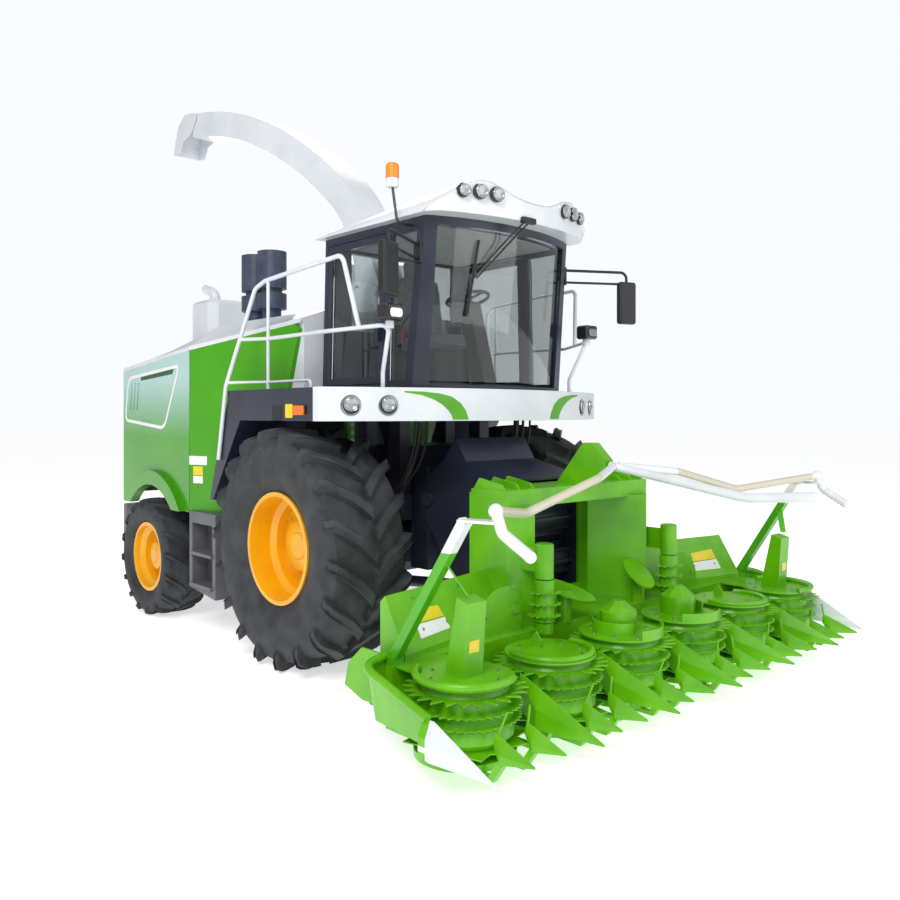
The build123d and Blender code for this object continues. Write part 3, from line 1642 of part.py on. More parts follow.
def transport_drum():
    """Left upright drum beside the throat, with three toothed discs, on the frame's post."""
    hole = upright(drum_x, drum_y, (0, far_out), post_radius + fit)
    pieces = [
        upright(drum_x, drum_y, (drum_foot_z, drum_foot_z + drum_height), drum_cap_radius + 6.0) - hole,
    ]
    for rise in (40.0, 120.0, 200.0):
        z = drum_foot_z + rise
        pieces.append(star(drum_x, drum_y, z, disc_thickness, drum_radius, 0.74 * drum_radius, 14) - hole)
    return fused(pieces)


def keel_section(x, y, half, foot, shoulder, crest):
    """Five-sided cross-section of a crop point, with a ridge on top."""
    outline = [(-half, foot), (half, foot), (half, shoulder), (0, crest), (-half, shoulder)]
    return Plane(origin=(x, y, 0), x_dir=(0, 1, 0), z_dir=(1, 0, 0)) * make_face(
        Polyline(*outline, close=True)
    )


def crop_point(tip, stations):
    """Ridged point: thin at the back, widest a little before that, drawn out to a tip at x, y, z."""
    x, y, z = tip
    return loft(
        [
            keel_section(x - back, y + aside, half, z + foot, z + shoulder, z + crest)
            for back, aside, half, foot, shoulder, crest in stations
        ],
        ruled=True,
    )


# columns: distance behind the tip, distance aside, half width, then foot, shoulder and crest above the tip
small_point = (
    (285.0, 0.0, 12.0, 28.0, 60.0, 105.0),
    (205.0, 0.0, 52.0, -35.0, 15.0, 78.0),
    (0.0, 0.0, 5.0, -8.0, 0.0, 4.0),
)
tall_divider = (
    (625.0, 0.0, 7.0, 45.0, 200.0, 262.0),
    (455.0, 0.0, 52.0, -25.0, 95.0, 195.0),
    (0.0, 0.0, 5.0, -8.0, 0.0, 4.0),
)
end_snout = (
    (490.0, 35.0, 38.0, 12.0, 120.0, 205.0),
    (400.0, 35.0, 38.0, 0.0, 110.0, 212.0),
    (0.0, 0.0, 5.0, -8.0, 0.0, 4.0),
)
bar_thickness = 26.0
lifter_radius = 7.0


def end_guard():
    """Bent side shield with a rolled lip, from the beam's end round the last rotor to the white snout."""
    path = FilletPolyline(
        (beam_front_x - 70, beam_half + fit, 626),
        (beam_front_x - 40, guard_y, 612),
        (rotor_x + 140, guard_y, 456),
        radius=120.0,
    )
    start = Plane(origin=path @ 0, x_dir=(1, 0, 0), z_dir=path % 0)
    lip = sweep(start * Circle(guard_lip), path)
    wall = sweep(start * Pos(0, 200) * Rectangle(guard_plate, 400), path)
    wall &= block((0, far_out), (0, far_out), (272, far_out))
    beam_room = block((0, beam_front_x), (0, beam_half + fit), (0, far_out))
    snout_tip = (tip_x - 57, guard_y - 35, 244)
    return fused([lip, wall, crop_point(snout_tip, end_snout)]) - beam_room


def crop_points():
    """Two small points with lifter rods before each rotor, tall dividers between, end guards outside."""
    under = pan_foot_z - fit
    low = under - bar_thickness
    small_arm = [
        (rotor_x + 120, low),
        (rotor_x + 120, under),
        (tip_x - 320, under),
        (tip_x - 225, tip_z),
        (tip_x - 175, tip_z),
        (tip_x - 290, low),
    ]
    tall_arm = [
        (beam_front_x - 140, beam_foot_z - fit),
        (beam_front_x - 20, beam_foot_z - fit),
        (beam_front_x + 30, under),
        (tip_x - 410, under),
        (tip_x - 350, tip_z + 10),
        (tip_x - 300, tip_z + 10),
        (tip_x - 380, low),
        (beam_front_x - 60, low),
    ]
    pieces = []
    for y in rotor_ys:
        for side in sides:
            spot = y + side * rotor_pitch / 6
            point = crop_point((tip_x, spot, tip_z), small_point)
            lean = -70.0 * side if side * y > 0 else 0.0
            lifter = bar(
                (tip_x - 276, spot, tip_z + 70), (tip_x - 262, spot + lean, tip_z + 200),
                lifter_radius,
            )
            pieces.append(fused([point, side_plate(small_arm, (spot - 20, spot + 20)), lifter]))
    for y in [(left + right) / 2 for left, right in zip(rotor_ys, rotor_ys[1:])]:
        divider = crop_point((tip_x + divider_lead, y, tip_z), tall_divider)
        pieces.append(fused([divider, side_plate(tall_arm, (y - 20, y + 20))]))
    end = end_guard()
    pieces += [end, other_side(end)]
    return Compound([solid for piece in pieces for solid in piece.solids()])


def push_bars():
    """Crop pusher: a bent tube over the middle and one on a braced arm at each end, tied by hoses."""
    arm_y = beam_half - 50.0
    seat = deck_foot_z - 40 + fit
    foot = block((beam_front_x - 100, beam_front_x), (arm_y - 48, arm_y + 48), (seat, seat + 50))
    knee = (2635.0, arm_y - 50, 1489.0)
    joint = (2830.0, arm_y - 90, 1556.0)
    end = (3074.0, arm_y - 100, 1334.0)
    arm = square_bar((beam_front_x - 41, arm_y, seat + 25), knee, 60, 60)
    gusset = [(beam_front_x - 60, seat + 40), (beam_front_x, seat + 40), (2330, 960), (2260, 990)]
    web = side_plate(gusset, (arm_y - 20, arm_y - 6))
    shelf = square_bar((knee[0] - 30, knee[1] + 4, knee[2]), (joint[0] + 25, joint[1], knee[2] + 6), 90, 16)
    strut = bar((joint[0], joint[1], knee[2]), joint, 22.0)
    brace = square_bar((2470, arm_y - 36, 1250), (2556, arm_y - 140, 1050), 46, 10)
    tube = pipe([joint, (2885, joint[1] + 5, 1440), end], 60.0, guide_tube_radius)
    cap = Pos(*end) * Sphere(1.04 * guide_tube_radius)
    collar = Pos(*joint) * Sphere(1.3 * guide_tube_radius)
    hose = pipe(
        [joint, (2449, 1300, 1456), (2406, 500, 1635), (2180, 30, 1690)],
        200.0,
        0.9 * guide_tube_radius,
    )
    left = fused([foot, arm, web, shelf, strut, brace, tube, cap, collar, hose])
    middle = pipe(
        [(2130, 0, 1690), (2610, 0, 1620), (3230, 0, 1525), (3700, 0, 1565)], 600.0,
        guide_tube_radius,
    )
    return fused([left, other_side(left), middle])


# Assembly


def axle_with_lugs():
    """Drive axle with the two lugs that carry the lift cylinders."""
    x, z = cylinder_foot
    lug = [(x - 60, z - 50), (x + 60, z - 50), (x + 90, front_axle_z), (x - 90, front_axle_z)]
    pieces = [front_axle()]
    for side in sides:
        for edge in (-54.0, 38.0):
            y = side * (cylinder_y + edge + 8.0)
            pieces.append(side_plate(lug, (y - 8, y + 8)))
        pieces.append(
            across_cylinder(x, z, (side * cylinder_y - 50, side * cylinder_y + 50), foot_pin_radius)
        )
    return fused(pieces)


def machine():
    """Every node of the machine by name, with X = 0 at the front axle."""
    nodes = {
        "chassis_frame": chassis_frame(),
        "front_axle": axle_with_lugs(),
        "rear_axle": rear_axle(),
        "tie_rod": tie_rod(),
        "engine_block": engine_block(),
        "chopper_housing": chopper_housing(),
        "platform_deck": platform_deck(),
        "cab_bumper": cab_bumper(),
        "cab_frame": cab_frame(),
        "cab_glass": cab_glass(),
        "cab_roof": cab_roof(),
        "operator_seat": operator_seat(),
        "steering_column": steering_column(),
        "handrails": handrails(),
        "mirrors": mirrors(),
        "lamps": lamps(),
        "side_panels": side_panels(),
        "side_skirts": side_skirts(),
        "engine_hood": engine_hood(),
        "rear_screen": rear_screen(),
        "rear_bumper": rear_bumper(),
        "exhaust_stack": exhaust_stack(),
        "air_precleaners": air_precleaners(),
        "spout_turret": spout_turret(),
        "spout_sides": spout_sides(),
        "spout_skins": spout_skins(),
        "spout_flap": spout_flap(),
        "feeder_house": feeder_house(),
        "feed_roll_upper": feed_roll(feed_roll_z[1]),
        "feed_roll_lower": feed_roll(feed_roll_z[0]),
        "lift_barrels": both_sides(lift_barrel()),
        "lift_rods": both_sides(lift_rod()),
        "header_frame": header_frame(),
        "rotor_covers": rotor_covers(),
        "crop_points": crop_points(),
        "push_bars": push_bars(),
    }
    nodes.update(wheel_set())
    left_pieces = {
        "knuckle": knuckle(),
        "door": door(),
        "door_glass": door_glass(),
        "engine_door": engine_door(),
        "transport_drum": transport_drum(),
    }
    for name, shape in left_pieces.items():
        nodes[name + "_left"] = shape
        nodes[name + "_right"] = other_side(shape)
    for index, y in enumerate(rotor_ys):
        nodes["rotor_%d" % (index + 1)] = rotor(y)
    return nodes


def main():
    """Write one file per node, centred along X."""
    nodes = machine()
    boxes = [shape.bounding_box() for shape in nodes.values()]
    middle = (min(box.min.X for box in boxes) + max(box.max.X for box in boxes)) / 2
    os.makedirs("parts", exist_ok=True)
    for name, shape in nodes.items():
        moved = [Pos(-middle, 0, 0) * solid for solid in shape.solids()]
        export_step(moved[0] if len(moved) == 1 else Compound(moved), "parts/%s.step" % name)
    print("moved along X by %.3f mm" % -middle)


if __name__ == "__main__":
    main()
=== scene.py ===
import math

import bmesh
import bpy
from mathutils import Matrix, Vector
from mathutils.bvhtree import BVHTree


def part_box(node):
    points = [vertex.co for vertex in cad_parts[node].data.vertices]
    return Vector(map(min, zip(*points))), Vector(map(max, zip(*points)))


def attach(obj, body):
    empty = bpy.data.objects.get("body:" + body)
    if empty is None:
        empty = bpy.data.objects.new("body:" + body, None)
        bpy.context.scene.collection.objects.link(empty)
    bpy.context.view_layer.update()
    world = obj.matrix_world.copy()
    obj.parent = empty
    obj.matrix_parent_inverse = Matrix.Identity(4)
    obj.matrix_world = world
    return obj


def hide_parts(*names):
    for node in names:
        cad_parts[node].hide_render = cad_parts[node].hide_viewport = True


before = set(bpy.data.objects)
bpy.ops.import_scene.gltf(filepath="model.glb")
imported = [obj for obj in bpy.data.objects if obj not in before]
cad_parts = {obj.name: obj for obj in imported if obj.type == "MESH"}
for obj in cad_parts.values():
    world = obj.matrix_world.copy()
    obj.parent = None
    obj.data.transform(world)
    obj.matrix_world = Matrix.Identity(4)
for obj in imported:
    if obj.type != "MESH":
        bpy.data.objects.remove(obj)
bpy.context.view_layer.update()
# places along X are measured from the front axle
front_axle_x = (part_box("tyre_front_left")[0].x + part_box("tyre_front_left")[1].x) / 2

# Tyres: black natural rubber, moulded with long bars in two rows that meet as a chevron.
# Each is pressed on to its rim and turns with the wheel. The large drive pair stands in front.


def linear(hex_colour):
    """An sRGB hex colour as linear red, green, blue and alpha."""
    values = [int(hex_colour[i:i + 2], 16) / 255 for i in (1, 3, 5)]
    return (*[v / 12.92 if v <= 0.04045 else ((v + 0.055) / 1.055) ** 2.4 for v in values], 1.0)


def add_node(tree, kind, links=None, **settings):
    """A node with its settings, and its inputs set to a value or linked from another node's output."""
    node = tree.nodes.new(kind)
    for name, value in settings.items():
        setattr(node, name, value)
    for key, value in (links or {}).items():
        if isinstance(value, bpy.types.NodeSocket):
            tree.links.new(value, node.inputs[key])
        else:
            node.inputs[key].default_value = value
    return node


def new_material(name, **surface):
    """A material with its shader, whose constants are set on the shader's own sockets."""
    material = bpy.data.materials.new(name)
    material.use_nodes = True
    tree = material.node_tree
    shader = tree.nodes["Principled BSDF"]
    for socket, value in surface.items():
        shader.inputs[socket.replace("_", " ")].default_value = value
    place = add_node(tree, "ShaderNodeTexCoord").outputs["Object"]
    return material, tree, shader, place


def blend(tree, factor, colour, hex_colour):
    """A second colour over the first, by a factor."""
    # a Mix node takes its two colours at inputs 6 and 7, and gives theirs at output 2
    links = {0: factor, 6: colour, 7: linear(hex_colour)}
    return add_node(tree, "ShaderNodeMix", links, data_type="RGBA").outputs[2]


def mottle(parts, shades, patch_mm, grain_mm, height_mm, roughness, edge_mm=0.0, edge_highlight=None):
    """Colour that drifts between shades over patches, with a fine grain, and rounded edges painted paler as a
    painted highlight.
    """
    _, tree, shader, place = parts
    patches = add_node(tree, "ShaderNodeTexNoise", {"Vector": place, "Scale": 1000 / patch_mm, "Detail": 4.0})
    ramp = add_node(tree, "ShaderNodeValToRGB", {"Fac": patches.outputs["Fac"]})
    for element, position, shade in zip(ramp.color_ramp.elements, (0.30, 0.72), shades):
        element.position = position
        element.color = linear(shade)
    colour = ramp.outputs["Color"]
    grain = add_node(tree, "ShaderNodeTexNoise", {"Vector": place, "Scale": 1000 / grain_mm, "Detail": 2.0})
    relief = {"Height": grain.outputs["Fac"], "Strength": 0.35, "Distance": height_mm / 1000}
    if edge_mm:
        rounded = add_node(tree, "ShaderNodeBevel", {"Radius": edge_mm / 1000}, samples=4).outputs["Normal"]
        relief["Normal"] = rounded
        flat = add_node(tree, "ShaderNodeNewGeometry").outputs["Normal"]
        # where the rounded normal turns away from the flat one, the colour is painted paler: a painted edge
        # highlight
        turn = add_node(tree, "ShaderNodeVectorMath", {0: rounded, 1: flat}, operation="DOT_PRODUCT")
        limits = {"From Min": 0.80, "From Max": 0.99, "To Min": 0.5, "To Max": 0.0}
        edge = add_node(tree, "ShaderNodeMapRange", {"Value": turn.outputs["Value"], **limits})
        colour = blend(tree, edge.outputs["Result"], colour, edge_highlight)
    bump = add_node(tree, "ShaderNodeBump", relief)
    tree.links.new(bump.outputs["Normal"], shader.inputs["Normal"])
    tree.links.new(colour, shader.inputs["Base Color"])
    limits = {"To Min": roughness[0], "To Max": roughness[1]}
    spread = add_node(tree, "ShaderNodeMapRange", {"Value": patches.outputs["Fac"], **limits})
    tree.links.new(spread.outputs["Result"], shader.inputs["Roughness"])
    return colour


def add_piece(name, shape, finish, body, slot, *stands_for, smooth_deg=35):
    """A finished shape as an object that rides on a body, with its finish; its slot is not used."""
    mesh = bpy.data.meshes.new(name)
    shape.to_mesh(mesh)
    shape.free()
    mesh.materials.append(finish)
    mesh.shade_smooth()
    mesh.set_sharp_from_angle(angle=math.radians(smooth_deg))
    piece = bpy.data.objects.new(name, mesh)
    bpy.context.scene.collection.objects.link(piece)
    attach(piece, body)
    if stands_for:
        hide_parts(*stands_for)
    return piece


def tyre_carcass(half, base, seat, bead):
    """Smooth tyre, spun from its section."""
    wall, flank = base - seat, half - bead
    # columns: distance from the middle plane, radius
    section = [
        (bead, seat + 0.002),
        (bead, seat + 0.040),
        (bead + 0.30 * flank, seat + 0.16 * wall),
        (bead + 0.36 * flank, seat + 0.17 * wall),
        (0.962 * half, seat + 0.38 * wall),
        (0.990 * half, seat + 0.54 * wall),
        (0.984 * half, seat + 0.68 * wall),
        (0.945 * half, base - 0.17 * wall),
        (0.870 * half, base - 0.06 * wall),
        (0.720 * half, base - 0.012),
        (0.400 * half, base - 0.003),
    ]
    section = section + [(-y, r) for y, r in section[::-1]]
    shape = bmesh.new()
    loop = [shape.verts.new((0, y, r)) for y, r in section]
    outline = [shape.edges.new(pair) for pair in zip(loop, loop[1:] + loop[:1])]
    bmesh.ops.spin(
        shape, geom=loop + outline, cent=(0, 0, 0), axis=(0, 1, 0), dvec=(0, 0, 0),
        angle=2 * math.pi, steps=84, use_merge=True,
    )
    return shape


def tread_bar(shape, radius, half, height, width):
    """Adds one bent bar at the top of a tyre and returns its faces."""
    carcass = set(shape.faces)
    knee, edge = 0.42 * half, 0.965 * half
    knee_run = 0.012 - knee
    edge_run = knee_run - (edge - knee) * math.tan(math.radians(34))
    near_run, far_run = (share * knee_run + (1 - share) * edge_run for share in (0.6, 0.2))
    near, far = (share * knee + (1 - share) * edge for share in (0.6, 0.2))
    deep = 1.15 * height
    # columns: along the tread, across at the top, drop at the top, across at the root, drop at the root
    stations = [
        (0.0, 0.010, 0.0, 0.004, deep),
        (0.5 * knee_run, 0.5 * knee, 0.001, 0.5 * knee, deep),
        (knee_run, knee, 0.004, knee, deep),
        (near_run, near, 0.009, near, deep + 0.010),
        (far_run, far, 0.018, 0.80 * edge, deep + 0.020),
        (edge_run, edge, 0.032, 0.90 * edge, deep + 0.050),
        (edge_run - 0.010, half, 0.032 + 0.9 * height, 0.92 * half, 2.0 * deep),
        (edge_run - 0.022, 0.995 * half, 0.032 + 2.0 * height, 0.94 * half, 2.6 * deep),
    ]
    last = len(stations) - 1
    root = bmesh.ops.create_grid(shape, x_segments=last, y_segments=1, size=1.0)["verts"]
    root_faces = list({face for vert in root for face in vert.link_faces})
    raised = bmesh.ops.extrude_face_region(shape, geom=root_faces, use_keep_orig=True)["geom"]
    top = [item for item in raised if isinstance(item, bmesh.types.BMVert)]
    bmesh.ops.translate(shape, verts=top, vec=(0, 0, 1))
    top_edges = {line for vert in top for line in vert.link_edges if all(end in top for end in line.verts)}
    rim_edges = []
    for line in top_edges:
        first, second = (end.co for end in line.verts)
        if abs(first.y - second.y) < 0.1 or abs(first.x) + abs(second.x) > 1.99:
            rim_edges.append(line)
    for vert in root + top:
        along, top_y, top_drop, root_y, root_drop = stations[round((vert.co.x + 1) / 2 * last)]
        share = vert.co.z
        spread = width * (0.50 + 0.28 * (1 - share))
        turn = (along + vert.co.y * spread) / radius
        reach = radius - root_drop + share * (root_drop - top_drop)
        vert.co = (reach * math.sin(turn), root_y + share * (top_y - root_y), reach * math.cos(turn))
    bmesh.ops.bevel(
        shape, geom=rim_edges, offset=0.14 * width, offset_type="OFFSET", affect="EDGES", segments=2,
        profile=0.5, material=-1, clamp_overlap=True,
    )
    bar = [face for face in shape.faces if face not in carcass]
    # no corner stands out past the rolling radius
    for vert in {vert for face in bar for vert in face.verts}:
        reach = math.hypot(vert.co.x, vert.co.z)
        if reach > radius:
            vert.co.x, vert.co.z = vert.co.x * radius / reach, vert.co.z * radius / reach
    return bar


def tyre_shape(radius, width, seat, bead, lug_height, lug_width, lugs):
    """Carcass with two rows of bent tread bars."""
    shape = tyre_carcass(width / 2, radius - lug_height, seat, bead)
    bar = tread_bar(shape, radius, width / 2, lug_height, lug_width)
    bar_geom = bar + list({e for f in bar for e in f.edges}) + list({v for f in bar for v in f.verts})
    pitch = 2 * math.pi / lugs
    # the first bar of the second row stands on the ground
    lead = math.pi - 0.021
    for row, offset in ((1, 0.5), (-1, 0.0)):
        for number in range(lugs):
            copy = bmesh.ops.duplicate(shape, geom=bar_geom)["geom"]
            verts = [item for item in copy if isinstance(item, bmesh.types.BMVert)]
            bmesh.ops.scale(shape, verts=verts, vec=(1, row, 1))
            turn = Matrix.Rotation(lead + pitch * (number + offset), 3, "Y")
            bmesh.ops.rotate(shape, verts=verts, cent=(0, 0, 0), matrix=turn)
    bmesh.ops.delete(shape, geom=bar, context="FACES")
    return shape


# rubber: matt black, a little grey where dust clings
tyre_rubber = new_material("moulded_tyre_rubber", IOR=1.52, Specular_IOR_Level=0.4)
mottle(tyre_rubber, ("#26282A", "#44474B"), 170, 6, 1.4, (0.55, 0.80))
rim_flange = 0.021
# columns: wheel, radius, width, rim seat, bar height, bar width, bars in a row
for end, radius, width, seat, lug_height, lug_width, lugs in [
    ("front", 0.985, 0.740, 0.430, 0.062, 0.072, 18),
    ("rear", 0.605, 0.480, 0.325, 0.026, 0.048, 16),
]:
    for side in ("left", "right"):
        name = "%s_%s" % (end, side)
        low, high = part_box("tyre_" + name)
        rim_low, rim_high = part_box("rim_" + name)
        bead = (rim_high.y - rim_low.y) / 2 - rim_flange
        tyre = tyre_shape(radius, width, seat, bead, lug_height, lug_width, lugs)
        if side == "right":
            bmesh.ops.scale(tyre, verts=tyre.verts[:], vec=(1, -1, 1))
        centre = (low + high) / 2
        bmesh.ops.translate(tyre, verts=tyre.verts[:], vec=(centre.x, centre.y, radius))
        bmesh.ops.remove_doubles(tyre, verts=tyre.verts[:], dist=0.0001)
        bmesh.ops.recalc_face_normals(tyre, faces=tyre.faces[:])
        add_piece("chevron_tyre_" + name, tyre, tyre_rubber[0], "wheel_" + name, "tyre", "tyre_" + name)

# Rims: pressed steel in orange-yellow enamel, deeply dished and bolted to the hubs.
# The enamel is thick and glossy, and its edges are painted a little paler, a painted highlight.


def paint_nodes(material, *names):
    """Gives a finish to CAD nodes."""
    for name in names:
        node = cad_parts[name]
        node.data.materials.clear()
        node.data.materials.append(material)


rim_enamel = new_material("orange_yellow_wheel_enamel", IOR=1.5, Coat_Weight=0.35, Coat_Roughness=0.12)
mottle(rim_enamel, ("#EAA400", "#F6B80C"), 300, 9, 0.3, (0.30, 0.42), 5, "#F6B63A")
paint_nodes(rim_enamel[0], "rim_front_left", "rim_front_right", "rim_rear_left", "rim_rear_right")

# Hub covers: pressed dishes in the same enamel, fixed over the hub in the middle of each rim.
# A step runs round the dish, and ten wheel bolts stand in a ring outside it.


def facing(normal):
    """Turn that points a shape's Z along a direction."""
    return Vector(normal).to_track_quat("Z", "Y").to_matrix().to_4x4()


def turned(outline, spot, normal, steps=28):
    """Round shape spun from an outline of radius and height, standing on a spot along a normal."""
    shape = bmesh.new()
    line = [shape.verts.new((r, 0, h)) for r, h in outline]
    edges = [shape.edges.new(pair) for pair in zip(line, line[1:])]
    bmesh.ops.spin(
        shape, geom=line + edges, cent=(0, 0, 0), axis=(0, 0, 1), dvec=(0, 0, 0), angle=2 * math.pi,
        steps=steps, use_merge=True,
    )
    bmesh.ops.remove_doubles(shape, verts=shape.verts[:], dist=0.00005)
    bmesh.ops.recalc_face_normals(shape, faces=shape.faces[:])
    bmesh.ops.transform(shape, matrix=Matrix.Translation(spot) @ facing(normal), verts=shape.verts[:])
    return shape


def join(shapes):
    """Several shapes as one."""
    whole = bmesh.new()
    for shape in shapes:
        mesh = bpy.data.meshes.new("part")
        shape.to_mesh(mesh)
        shape.free()
        whole.from_mesh(mesh)
        bpy.data.meshes.remove(mesh)
    return whole


surfaces = {}


def surface(node):
    """Search tree of a CAD node's faces."""
    if node not in surfaces:
        faces = bmesh.new()
        faces.from_mesh(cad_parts[node].data)
        surfaces[node] = BVHTree.FromBMesh(faces)
        faces.free()
    return surfaces[node]


def bolt(spot, normal, size):
    """Hexagon head on a washer."""
    head = bmesh.new()
    bmesh.ops.create_cone(
        head, cap_ends=True, segments=12, radius1=0.95 * size, radius2=0.90 * size, depth=0.3 * size,
        matrix=Matrix.Translation((0, 0, 0.1 * size)),
    )
    bmesh.ops.create_cone(
        head, cap_ends=True, segments=6, radius1=0.66 * size, radius2=0.60 * size, depth=0.6 * size,
        matrix=Matrix.Translation((0, 0, 0.5 * size)),
    )
    bmesh.ops.transform(head, matrix=Matrix.Translation(spot) @ facing(normal), verts=head.verts[:])
    return head


bolts_in_ring = 10
# columns: wheel, cover radius, depth over the hub, bolt circle, bolt size
for end, r, d, circle, size in [
    ("front", 0.262, 0.112, 0.318, 0.020),
    ("rear", 0.175, 0.108, 0.215, 0.014),
]:
    # columns: radius, height above the rim's disc
    outline = [
        (0, d), (0.40 * r, d), (0.44 * r, d - 0.010), (0.72 * r, d - 0.012), (0.80 * r, d - 0.022),
        (0.86 * r, 0.030), (0.92 * r, 0.012), (r, 0.010), (r, 0.0),
    ]
    for side, hand in ((1, "left"), (-1, "right")):
        name = "%s_%s" % (end, hand)
        low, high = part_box("rim_" + name)
        centre = (low + high) / 2
        outwards = Vector((0, side, 0))
        start = Vector((centre.x + circle, centre.y + side, centre.z))
        disc = surface("rim_" + name).ray_cast(start, -outwards)[0]
        middle = Vector((centre.x, disc.y, centre.z))
        dish = turned(outline, middle, outwards, 48)
        add_piece("hub_cover_" + name, dish, rim_enamel[0], "wheel_" + name, "rim_paint")
        ring = []
        for number in range(bolts_in_ring):
            angle = 2 * math.pi * number / bolts_in_ring
            spot = middle + circle * Vector((math.cos(angle), 0, math.sin(angle)))
            ring.append(bolt(spot, outwards, size))
        add_piece("wheel_bolts_" + name, join(ring), rim_enamel[0], "wheel_" + name, "rim_paint")

# Chassis, axles, fenders, cab frame and feeder: welded and folded steel plate.
# All of it is sprayed in one coat of near-black navy enamel.
navy_enamel = new_material("navy_black_enamel", IOR=1.5, Coat_Weight=0.3, Coat_Roughness=0.18)
mottle(navy_enamel, ("#1B2030", "#272D40"), 350, 8, 0.3, (0.32, 0.48), 5, "#4A536B")
paint_nodes(
    navy_enamel[0],
    "chassis_frame", "front_axle", "rear_axle", "tie_rod", "chopper_housing", "platform_deck", "cab_frame",
    "door_left", "door_right", "feeder_house", "knuckle_left", "knuckle_right", "feed_roll_upper",
    "feed_roll_lower", "lift_barrels",
)

# Engine: grey cast iron under oily dust, bolted between the chassis rails.
# The casting skin is coarse and dull.
cast_iron = new_material("dusty_cast_iron", Metallic=0.6)
mottle(cast_iron, ("#2A2C2E", "#3A3A38"), 120, 4, 0.8, (0.55, 0.75), 4, "#5A5A58")
paint_nodes(cast_iron[0], "engine_block")

# Lift rods: ground steel with hard chrome, sliding in the navy barrels.
# The chrome is bright, with a faint grain from the grinding.
chrome = new_material("hard_chrome", Metallic=1.0)
mottle(chrome, ("#C4C7CB", "#D6D8DB"), 200, 3, 0.05, (0.10, 0.18))
paint_nodes(chrome[0], "lift_rods")

# White pieces: roof, fascia, hood, rails, silencer box and the whole spout.
# They are pressed sheet and bent tube in gloss white enamel, with rounded edges.
white_enamel = new_material("white_gloss_enamel", IOR=1.5, Coat_Weight=0.4, Coat_Roughness=0.1)
mottle(white_enamel, ("#D6DBE2", "#E4E8EC"), 500, 10, 0.25, (0.26, 0.38), 6, "#FAFAFA")
paint_nodes(
    white_enamel[0],
    "cab_roof", "cab_bumper", "engine_hood", "handrails", "exhaust_stack", "spout_turret", "spout_sides",
    "spout_skins", "spout_flap",
)

# Green body panels: pressed steel sheet hung on the engine frame, in leaf-green enamel.
# The paint is glossy, and its edges are painted paler, a painted highlight.
# the second colour is painted on rounded edges as a highlight
leaf_shades, leaf_edge_highlight = ("#3E9600", "#4CA604"), "#7CC24A"
leaf_enamel = new_material("leaf_green_enamel", IOR=1.45, Coat_Weight=0.15, Coat_Roughness=0.1)
mottle(leaf_enamel, leaf_shades, 600, 10, 0.25, (0.26, 0.38), 6, leaf_edge_highlight)
paint_nodes(leaf_enamel[0], "side_panels")

# Rear service doors: the same pressed steel, painted paler towards the top and fading down into the green, a
# painted sky reflection.
# A white line frames the door's upper panel, with a dark green bar along its top. Both are vinyl film.


def split_place(parts):
    """Object coordinates of a material, as the outputs X, Y and Z."""
    return add_node(parts[1], "ShaderNodeSeparateXYZ", {"Vector": parts[3]}).outputs


def overpaint(parts, colour, factor, hex_colour):
    """Paints a second colour over the first, by a factor."""
    _, tree, shader, _ = parts
    result = blend(tree, factor, colour, hex_colour)
    tree.links.new(result, shader.inputs["Base Color"])
    return result


def sheet_from(corners, rounding=0.0, line=0.0):
    """Flat sheet from its corners, with rounded corners, or only a frame line of that width."""
    shape = bmesh.new()
    shape.faces.new([shape.verts.new((front_axle_x + x, y, z)) for x, y, z in corners])
    if rounding:
        bmesh.ops.bevel(
            shape, geom=shape.verts[:], offset=rounding, offset_type="OFFSET", affect="VERTICES", segments=6,
            profile=0.5, material=-1,
        )
    if line:
        middle = shape.faces[:]
        bmesh.ops.inset_region(shape, faces=middle, thickness=line, use_boundary=True, use_even_offset=True)
        bmesh.ops.delete(shape, geom=middle, context="FACES")
        bmesh.ops.subdivide_edges(shape, edges=shape.edges[:], cuts=3, use_grid_fill=True)
    return shape


def lay(shape, node, towards, lift_mm=1.5, thick_mm=1.0, start=3.0):
    """Drops a flat sheet on a CAD piece along a direction and gives it thickness."""
    ahead = Vector(towards).normalized()
    for vert in shape.verts:
        spot = surface(node).ray_cast(vert.co - ahead * start, ahead)[0]
        if spot:
            vert.co = spot - ahead * lift_mm / 1000
    shape.normal_update()
    for face in shape.faces:
        if face.normal.dot(ahead) > 0:
            face.normal_flip()
    bmesh.ops.solidify(shape, geom=shape.faces[:], thickness=-thick_mm / 1000)
    return shape


door_enamel = new_material("green_door_enamel_painted_sky_reflection", IOR=1.5, Coat_Weight=0.25, Coat_Roughness=0.08)
green = mottle(door_enamel, leaf_shades, 600, 10, 0.25, (0.22, 0.34), 6, leaf_edge_highlight)
# the door is painted paler towards the top: a painted sky reflection
sky_reflection_heights = {"From Min": 1.85, "From Max": 2.42}
height = split_place(door_enamel)["Z"]
sky_reflection = add_node(door_enamel[1], "ShaderNodeMapRange", {"Value": height, **sky_reflection_heights})
overpaint(door_enamel, green, sky_reflection.outputs["Result"], "#B4D6D0")
paint_nodes(door_enamel[0], "engine_door_left", "engine_door_right")

white_film = new_material("white_vinyl_film", IOR=1.5, Coat_Weight=0.2)
mottle(white_film, ("#E9ECEC", "#F6F7F7"), 150, 4, 0.1, (0.30, 0.42))
bottle_film = new_material("dark_green_vinyl_film", IOR=1.5)
mottle(bottle_film, ("#1C4A22", "#26592C"), 150, 4, 0.1, (0.34, 0.46))
door_y = 1.56
